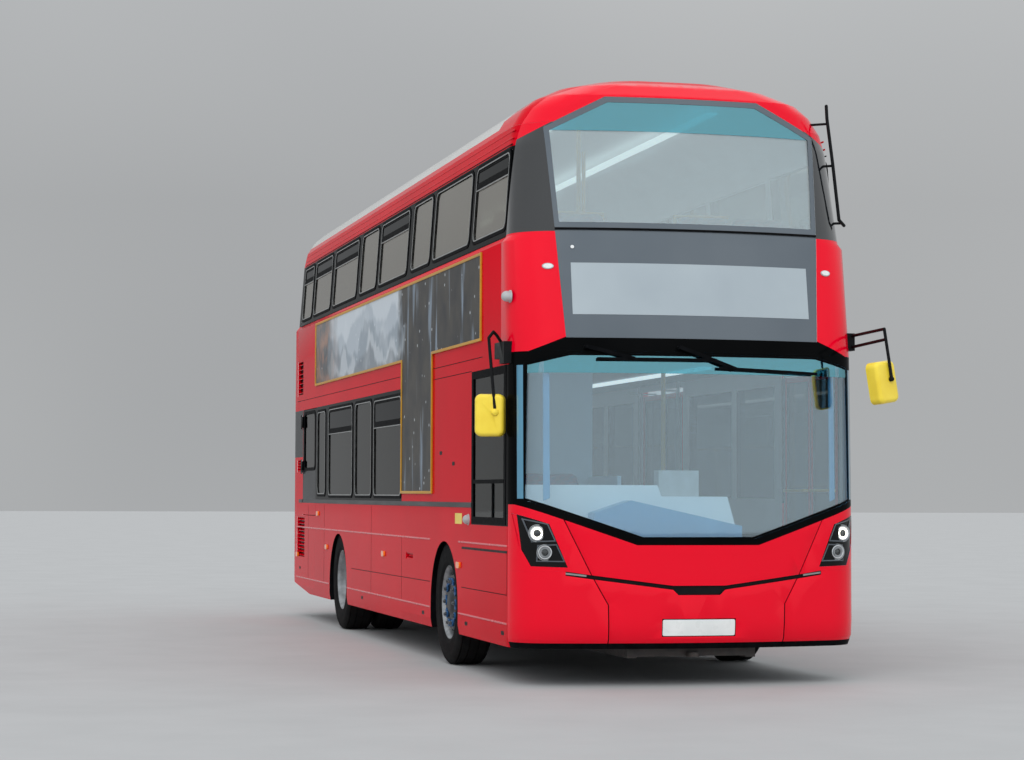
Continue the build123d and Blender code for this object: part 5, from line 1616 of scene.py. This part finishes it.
@dataclass
class Wheels:
    """Tyres with tread, silver steel wheels, nuts and blue nut indicators."""

    radius: float = 478.0
    width: float = 275.0
    rim: float = 286.0
    track: float = 1097.5
    twin: float = 315.0
    nut_circle: float = 167.5
    nuts: int = 10
    # How far out from the front axle the disc is painted as hub shade.
    hub_shade_radius: float = 258.0
    # How far a wheel's nut face stands outwards from the tyre's middle.
    front_face: float = 99.0
    rear_face: float = -143.0
    # The tread's grooves: places as shares of half the width, then half widths and depths in millimetres.
    grooves: Pair = (0.72, 0.26)
    groove: Outline = ((5, 1.5), (3, 13), (-3, 13), (-5, 1.5))
    nut: Outline = ((0, 23), (3, 23), (4, 17), (26, 17), (29, 12), (36, 12), (37, 0))
    pointer: Outline = ((3, 28), (13, 28), (15, 22), (15, 18))
    # The pointer's tip in metres: how far it lies off the disc and off the nut, and its size.
    tip_out: float = 0.008
    tip_reach: float = 0.034
    tip_size: Place = (0.010, 0.030, 0.030)

    def tyre_profile(self) -> Points:
        """The tyre's section: bead, side wall with rings, shoulder and grooved tread.

        Returns:
            Its points as distance from the middle and radius.
        """
        half, rim, outer = self.width / 2, self.rim, self.radius
        right = [(half - 20, rim), (half - 8, rim + 20), (half - 3, rim + 40), (half - 4, rim + 44),
                 (half, rim + 92), (half - 1.5, rim + 96), (half - 1, rim + 120), (half - 4, outer - 40),
                 (half - 12, outer - 22), (half - 26, outer - 6)]
        right += [(half * share + across, outer - deep)
                  for share in self.grooves for across, deep in self.groove]
        return right + [(-a, r) for a, r in reversed(right)]

    def build(self) -> None:
        """Replaces the tyres and dresses the wheels."""
        for name, side in (("offside", -1), ("nearside", 1)):
            rows = (("front", FRONT_AXLE, self.front_face, [self.track]),
                    ("rear", REAR_AXLE, self.rear_face, [self.track, self.track - self.twin]))
            for end, axle, _, places in rows:
                centres = [metres(side * x, axle, self.radius) for x in places]
                self.tyres(f"{end}_tyre_{name}", f"{end}_wheel_{name}", centres)
            for end, axle, _, _ in rows:
                body = f"{end}_wheel_{name}"
                refit(body, (WHEEL_SILVER, HUB_SHADE), self.pick, body, sharp=30.0)
            for end, axle, face, _ in rows:
                centre = metres(side * (self.track + face), axle, self.radius)
                self.fasteners(f"{end}_wheel_{name}", centre, Vector((side, 0, 0)), end == "front")

    def pick(self, middle: Vector, normal: Vector) -> int:
        """The disc of a front wheel is painted dark as the shade in its hub, the rest silver."""
        return int(math.hypot(middle.y - FRONT_AXLE, middle.z - self.radius) < self.hub_shade_radius)

    def tyres(self, node: str, body: str, centres: Sequence[Vector]) -> None:
        """Spins the tyres of one body.

        Args:
            node: The CAD node that they replace.
            body: The body that they ride on.
            centres: Their middles.
        """
        bm = bmesh.new()
        for centre in centres:
            verts = [bm.verts.new(centre + Vector((a, 0, r)) * MM) for a, r in self.tyre_profile()]
            edges = [bm.edges.new(pair) for pair in zip(verts, verts[1:] + verts[:1])]
            bmesh.ops.spin(bm, geom=verts + edges, cent=centre, axis=(1, 0, 0), angle=math.tau, steps=96,
                           use_merge=True)
        bmesh.ops.remove_doubles(bm, verts=bm.verts[:], dist=MERGE)
        bmesh.ops.recalc_face_normals(bm, faces=bm.faces[:])
        made = piece(node + "_tread", bm, [RUBBER], body, sharp=40.0)
        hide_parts(node)

    def fasteners(self, body: str, centre: Vector, out: Vector, front: bool) -> None:
        """Wheel nuts in a circle, with a blue pointer on each front one.

        Args:
            body: The wheel's body.
            centre: The middle of the nut circle on the disc's face.
            out: The direction outwards.
            front: Whether it is a front wheel.
        """
        bm = bmesh.new()
        for index in range(self.nuts):
            turn = math.tau * index / self.nuts
            place = centre + Vector((0, math.cos(turn), math.sin(turn))) * self.nut_circle * MM
            turned(bm, self.nut, place, out, 6)
            if front:
                turned(bm, self.pointer, place, out, 12, 1)
                root = Matrix.Translation(place + out * self.tip_out) @ Matrix.Rotation(turn, 4, "X")
                tip = Matrix.Translation((0, 0, self.tip_reach)) @ Matrix.Diagonal((*self.tip_size, 1.0))
                made = bmesh.ops.create_cube(bm, size=1.0, matrix=root @ tip)
                for face in {f for v in made["verts"] for f in v.link_faces}:
                    face.material_index = 1
        piece(body + "_nuts", bm, (NUT_STEEL, NUT_BLUE), body, sharp=25.0)


@dataclass
class Doors:
    """Red door leaves with glass, rubber edges and grab bars."""

    leaf_x: float = 1235.0
    # The grab bars in metres: heights, distance from the leaf's edges, foot inside the leaf.
    heights: Pair = (1.05, 1.35)
    inset: float = 0.06
    foot: float = 0.01

    def build(self) -> None:
        """Paints the leaves and the arms."""
        for door, stand, radius in (("entrance", 0.03, 11.0), ("exit", 0.003, 5.0)):
            for end in ("fore", "aft"):
                leaf, arm = f"{door}_leaf_{end}", f"{door}_arm_{end}"
                refit(leaf, (RED, LOWER_GLASS, GASKET), self.pick, leaf, bevel=2.0)
                refit(arm, (ARM_METAL,), plain, arm)
                self.bars(leaf, stand, radius)

    def pick(self, middle: Vector, normal: Vector) -> int:
        """The pane is glass, the leaf's edges rubber, the rest painted.

        Args:
            middle: The face's middle.
            normal: Its direction.

        Returns:
            The finish's index.
        """
        if abs(middle.x - self.leaf_x) < 5 and abs(normal.x) > 0.5:
            return 1
        return 2 if abs(normal.y) > 0.9 else 0

    def bars(self, leaf: str, stand: float, radius: float) -> None:
        """Adds yellow grab bars across the inside of a leaf.

        Args:
            leaf: The leaf and its body.
            stand: How far the bars stand off it, in metres.
            radius: Their radius in millimetres.
        """
        low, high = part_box(leaf)
        bm = bmesh.new()
        foot, out = low.x + self.foot, low.x - stand
        first, last = low.y + self.inset, high.y - self.inset
        for z in self.heights:
            path = ((foot, first, z), (out, first, z), (out, last, z), (foot, last, z))
            tube(bm, [Vector(point) for point in path], radius)
        piece(leaf + "_bars", bm, [YELLOW_TUBE], leaf)


@dataclass
class Interior:
    """Floors, seats, rails, cab and the lamps inside."""

    # Double seats. Columns: first station, rows, side, floor height.
    lower: Seats = ((4520, 2, -1, 340), (6780, 3, -1, 740), (6780, 3, 1, 740))
    upper: Seats = ((900, 1, -1, 2352), (900, 12, 1, 2352), (4700, 7, -1, 2352))
    pitch: float = 760.0
    seat_width: float = 435.0
    wall_gap: float = 62.0
    back_top: float = 1100.0
    lean: float = -10.0
    # Places in a double seat, behind its first station and over the floor: pads, legs, the rail on its back.
    wall_to_pad: float = 217.0
    base_at: Pair = (225, 428)
    back_at: Pair = (487, 762)
    leg_at: Outline = ((200, 2), (200, 392))
    leg_spread: float = 100.0
    rail_at: Outline = ((440, 560), (560, 1060), (566, 1066))
    rail_end: float = 860.0
    # Sizes of a pad in metres: width, length, thickness.
    base: Place = (0.425, 0.43, 0.075)
    back: Place = (0.425, 0.60, 0.06)
    driver_base: Place = (0.46, 0.43, 0.10)
    driver_back: Place = (0.45, 0.70, 0.08)
    driver_base_at: Place = (-680, 1215, 730)
    driver_back_at: Place = (-680, 1462, 1130)
    driver_foot_at: Place = (-680, 1230, 502)
    driver_lean: float = -8.0
    # Parts of the dash with their own finish. Columns: limits of x, of the station and of height, finish.
    dash: tuple[tuple[float, float, float, float, float, float, int], ...] = (
        (-176, 120, 379, 501, 1304.5, 9999, 2), (-714, 355, -9999, 299, 960, 9999, 3),
        (-9999, 9999, 299, 561, 1000, 9999, 1))
    # Ceiling lamps in metres. Columns: x, height, both ends.
    lamps: Rows = ((0.62, 2.285, -3.4, 4.4), (0.5, 4.165, -3.9, 4.3))

    def build(self) -> None:
        """Dresses the inside."""
        dress(VINYL, "lower_floor", "rear_floor", "engine_housing", "wheel_boxes", "upper_floor", "staircase")
        dress(YELLOW_TUBE, "handrails")
        self.cab()
        dress(MATT_BLACK, "steering_wheel")
        dress(STEEL_BLACK, "chassis_frame", "cross_members", "front_axle", "rear_axle", "knuckle_offside",
              "knuckle_nearside")
        dress(IRON, "engine_block")
        self.seats("lower_seats", self.lower)
        self.seats("upper_seats", self.upper)
        self.driver_seat()
        self.strips()

    def cab(self) -> None:
        """Paints the dash: a white board, a cowl before it and a grey machine on it; the cowl and the rest of
        the cab are blue as painted sky light.
        """
        def pick(middle: Vector, normal: Vector) -> int:
            """The finish of a face of the cab.

            Args:
                middle: The face's middle.
                normal: Its direction; not used.

            Returns:
                The finish's index.
            """
            for x0, x1, y0, y1, z0, z1, finish in self.dash:
                if x0 < middle.x < x1 and y0 < middle.y < y1 and z0 < middle.z < z1:
                    return finish
            return 0

        refit("cab", (PALE_BLUE, DASH_WHITE, GREY_PLASTIC, PILLAR_BLUE), pick, bevel=8.0)

    def cushion(self, bm: Mesh, place: Matrix, size: Sequence[float], crown: float) -> None:
        """Adds one crowned pad.

        Args:
            bm: The mesh that it goes into.
            place: Its middle and turn, in metres.
            size: Its width, length and thickness in metres.
            crown: How far its top swells in metres.
        """
        pad = bmesh.new()
        bmesh.ops.create_cube(pad, size=1.0)
        bmesh.ops.subdivide_edges(pad, edges=pad.edges[:], cuts=3, use_grid_fill=True)
        for vert in pad.verts:
            u, v = vert.co.x * 2, vert.co.y * 2
            swell = (1 - u * u) * (1 - v * v)
            taper = 1 - 0.05 * (1 - min(abs(u), 1.0)) * abs(v)
            height = vert.co.z * size[2] + (crown * swell if vert.co.z > 0.2 else 0.0)
            vert.co = Vector((vert.co.x * size[0], vert.co.y * size[1] * taper, height))
        bmesh.ops.transform(pad, matrix=place, verts=pad.verts[:])
        carrier = bpy.data.meshes.new("pad")
        pad.to_mesh(carrier)
        pad.free()
        bm.from_mesh(carrier)
        bpy.data.meshes.remove(carrier)

    def seats(self, node: str, table: Seats) -> None:
        """Builds the double seats of one deck.

        Args:
            node: The CAD node that they replace.
            table: Their rows: first station, count, side and floor height.
        """
        pads, frames = bmesh.new(), bmesh.new()
        turn = tilt(self.lean, "X") @ tilt(90, "X")
        for station, rows, side, floor in table:
            inside = HULL.row(floor + self.back_top)[2] - self.wall_gap
            for row in range(rows):
                y = station + row * self.pitch
                for half in (0, 1):
                    x = side * (inside - self.wall_to_pad - half * self.seat_width)
                    seat, back = (Matrix.Translation(metres(x, y + far, floor + up))
                                  for far, up in (self.base_at, self.back_at))
                    self.cushion(pads, seat, self.base, 0.028)
                    self.cushion(pads, back @ turn, self.back, 0.02)
                middle, edge = side * (inside - self.seat_width), side * (inside - self.rail_end)
                for x in (middle - self.leg_spread, middle + self.leg_spread):
                    tube(frames, [metres(x, y + far, floor + up) for far, up in self.leg_at], 22.0)
                tube(frames, [metres(x, y + far, floor + up)
                              for x, (far, up) in zip((edge, edge, middle), self.rail_at)], 13.0)
        made = piece(node + "_cushions", pads, [CLOTH], sharp=180.0)
        soft = made.modifiers.new("soft_form", "SUBSURF")
        soft.levels = soft.render_levels = 1
        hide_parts(node)
        piece(node + "_frames", frames, [YELLOW_TUBE])

    def driver_seat(self) -> None:
        """The driver's sprung seat."""
        pads = bmesh.new()
        turn = tilt(self.driver_lean, "X") @ tilt(90, "X")
        places = (self.driver_base_at, self.driver_back_at)
        seat, back = (Matrix.Translation(metres(*place)) for place in places)
        self.cushion(pads, seat, self.driver_base, 0.02)
        self.cushion(pads, back @ turn, self.driver_back, 0.02)
        made = piece("driver_seat_cushions", pads, [CLOTH], sharp=180.0)
        soft = made.modifiers.new("soft_form", "SUBSURF")
        soft.levels = soft.render_levels = 1
        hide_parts("driver_seat")
        base = bmesh.new()
        box(base, metres(*self.driver_foot_at), (0.30, 0.32, 0.32))
        piece("driver_seat_base", base, [MATT_BLACK], bevel=20.0, segments=3)

    def strips(self) -> None:
        """Lamp strips along both ceilings."""
        bm = bmesh.new()
        for x, z, y0, y1 in self.lamps:
            for side in (-1, 1):
                box(bm, (side * x, (y0 + y1) / 2, z), (0.09, y1 - y0, 0.02))
        piece("ceiling_lamps", bm, [LAMP_STRIP], bevel=6.0)


def main() -> None:
    """Builds the scene in order and reports its pieces."""
    logging.basicConfig(level=logging.INFO, format="%(message)s")
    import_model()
    for part in (Studio(), BodyShell(), SideGlazing(), Front(), Advert(), Fittings(), Mirrors(), Wheels(),
                 Doors(), Interior()):
        part.build()
        LOG.info("%s done", type(part).__name__)
    bpy.context.view_layer.update()


if __name__ == "__main__":
    main()
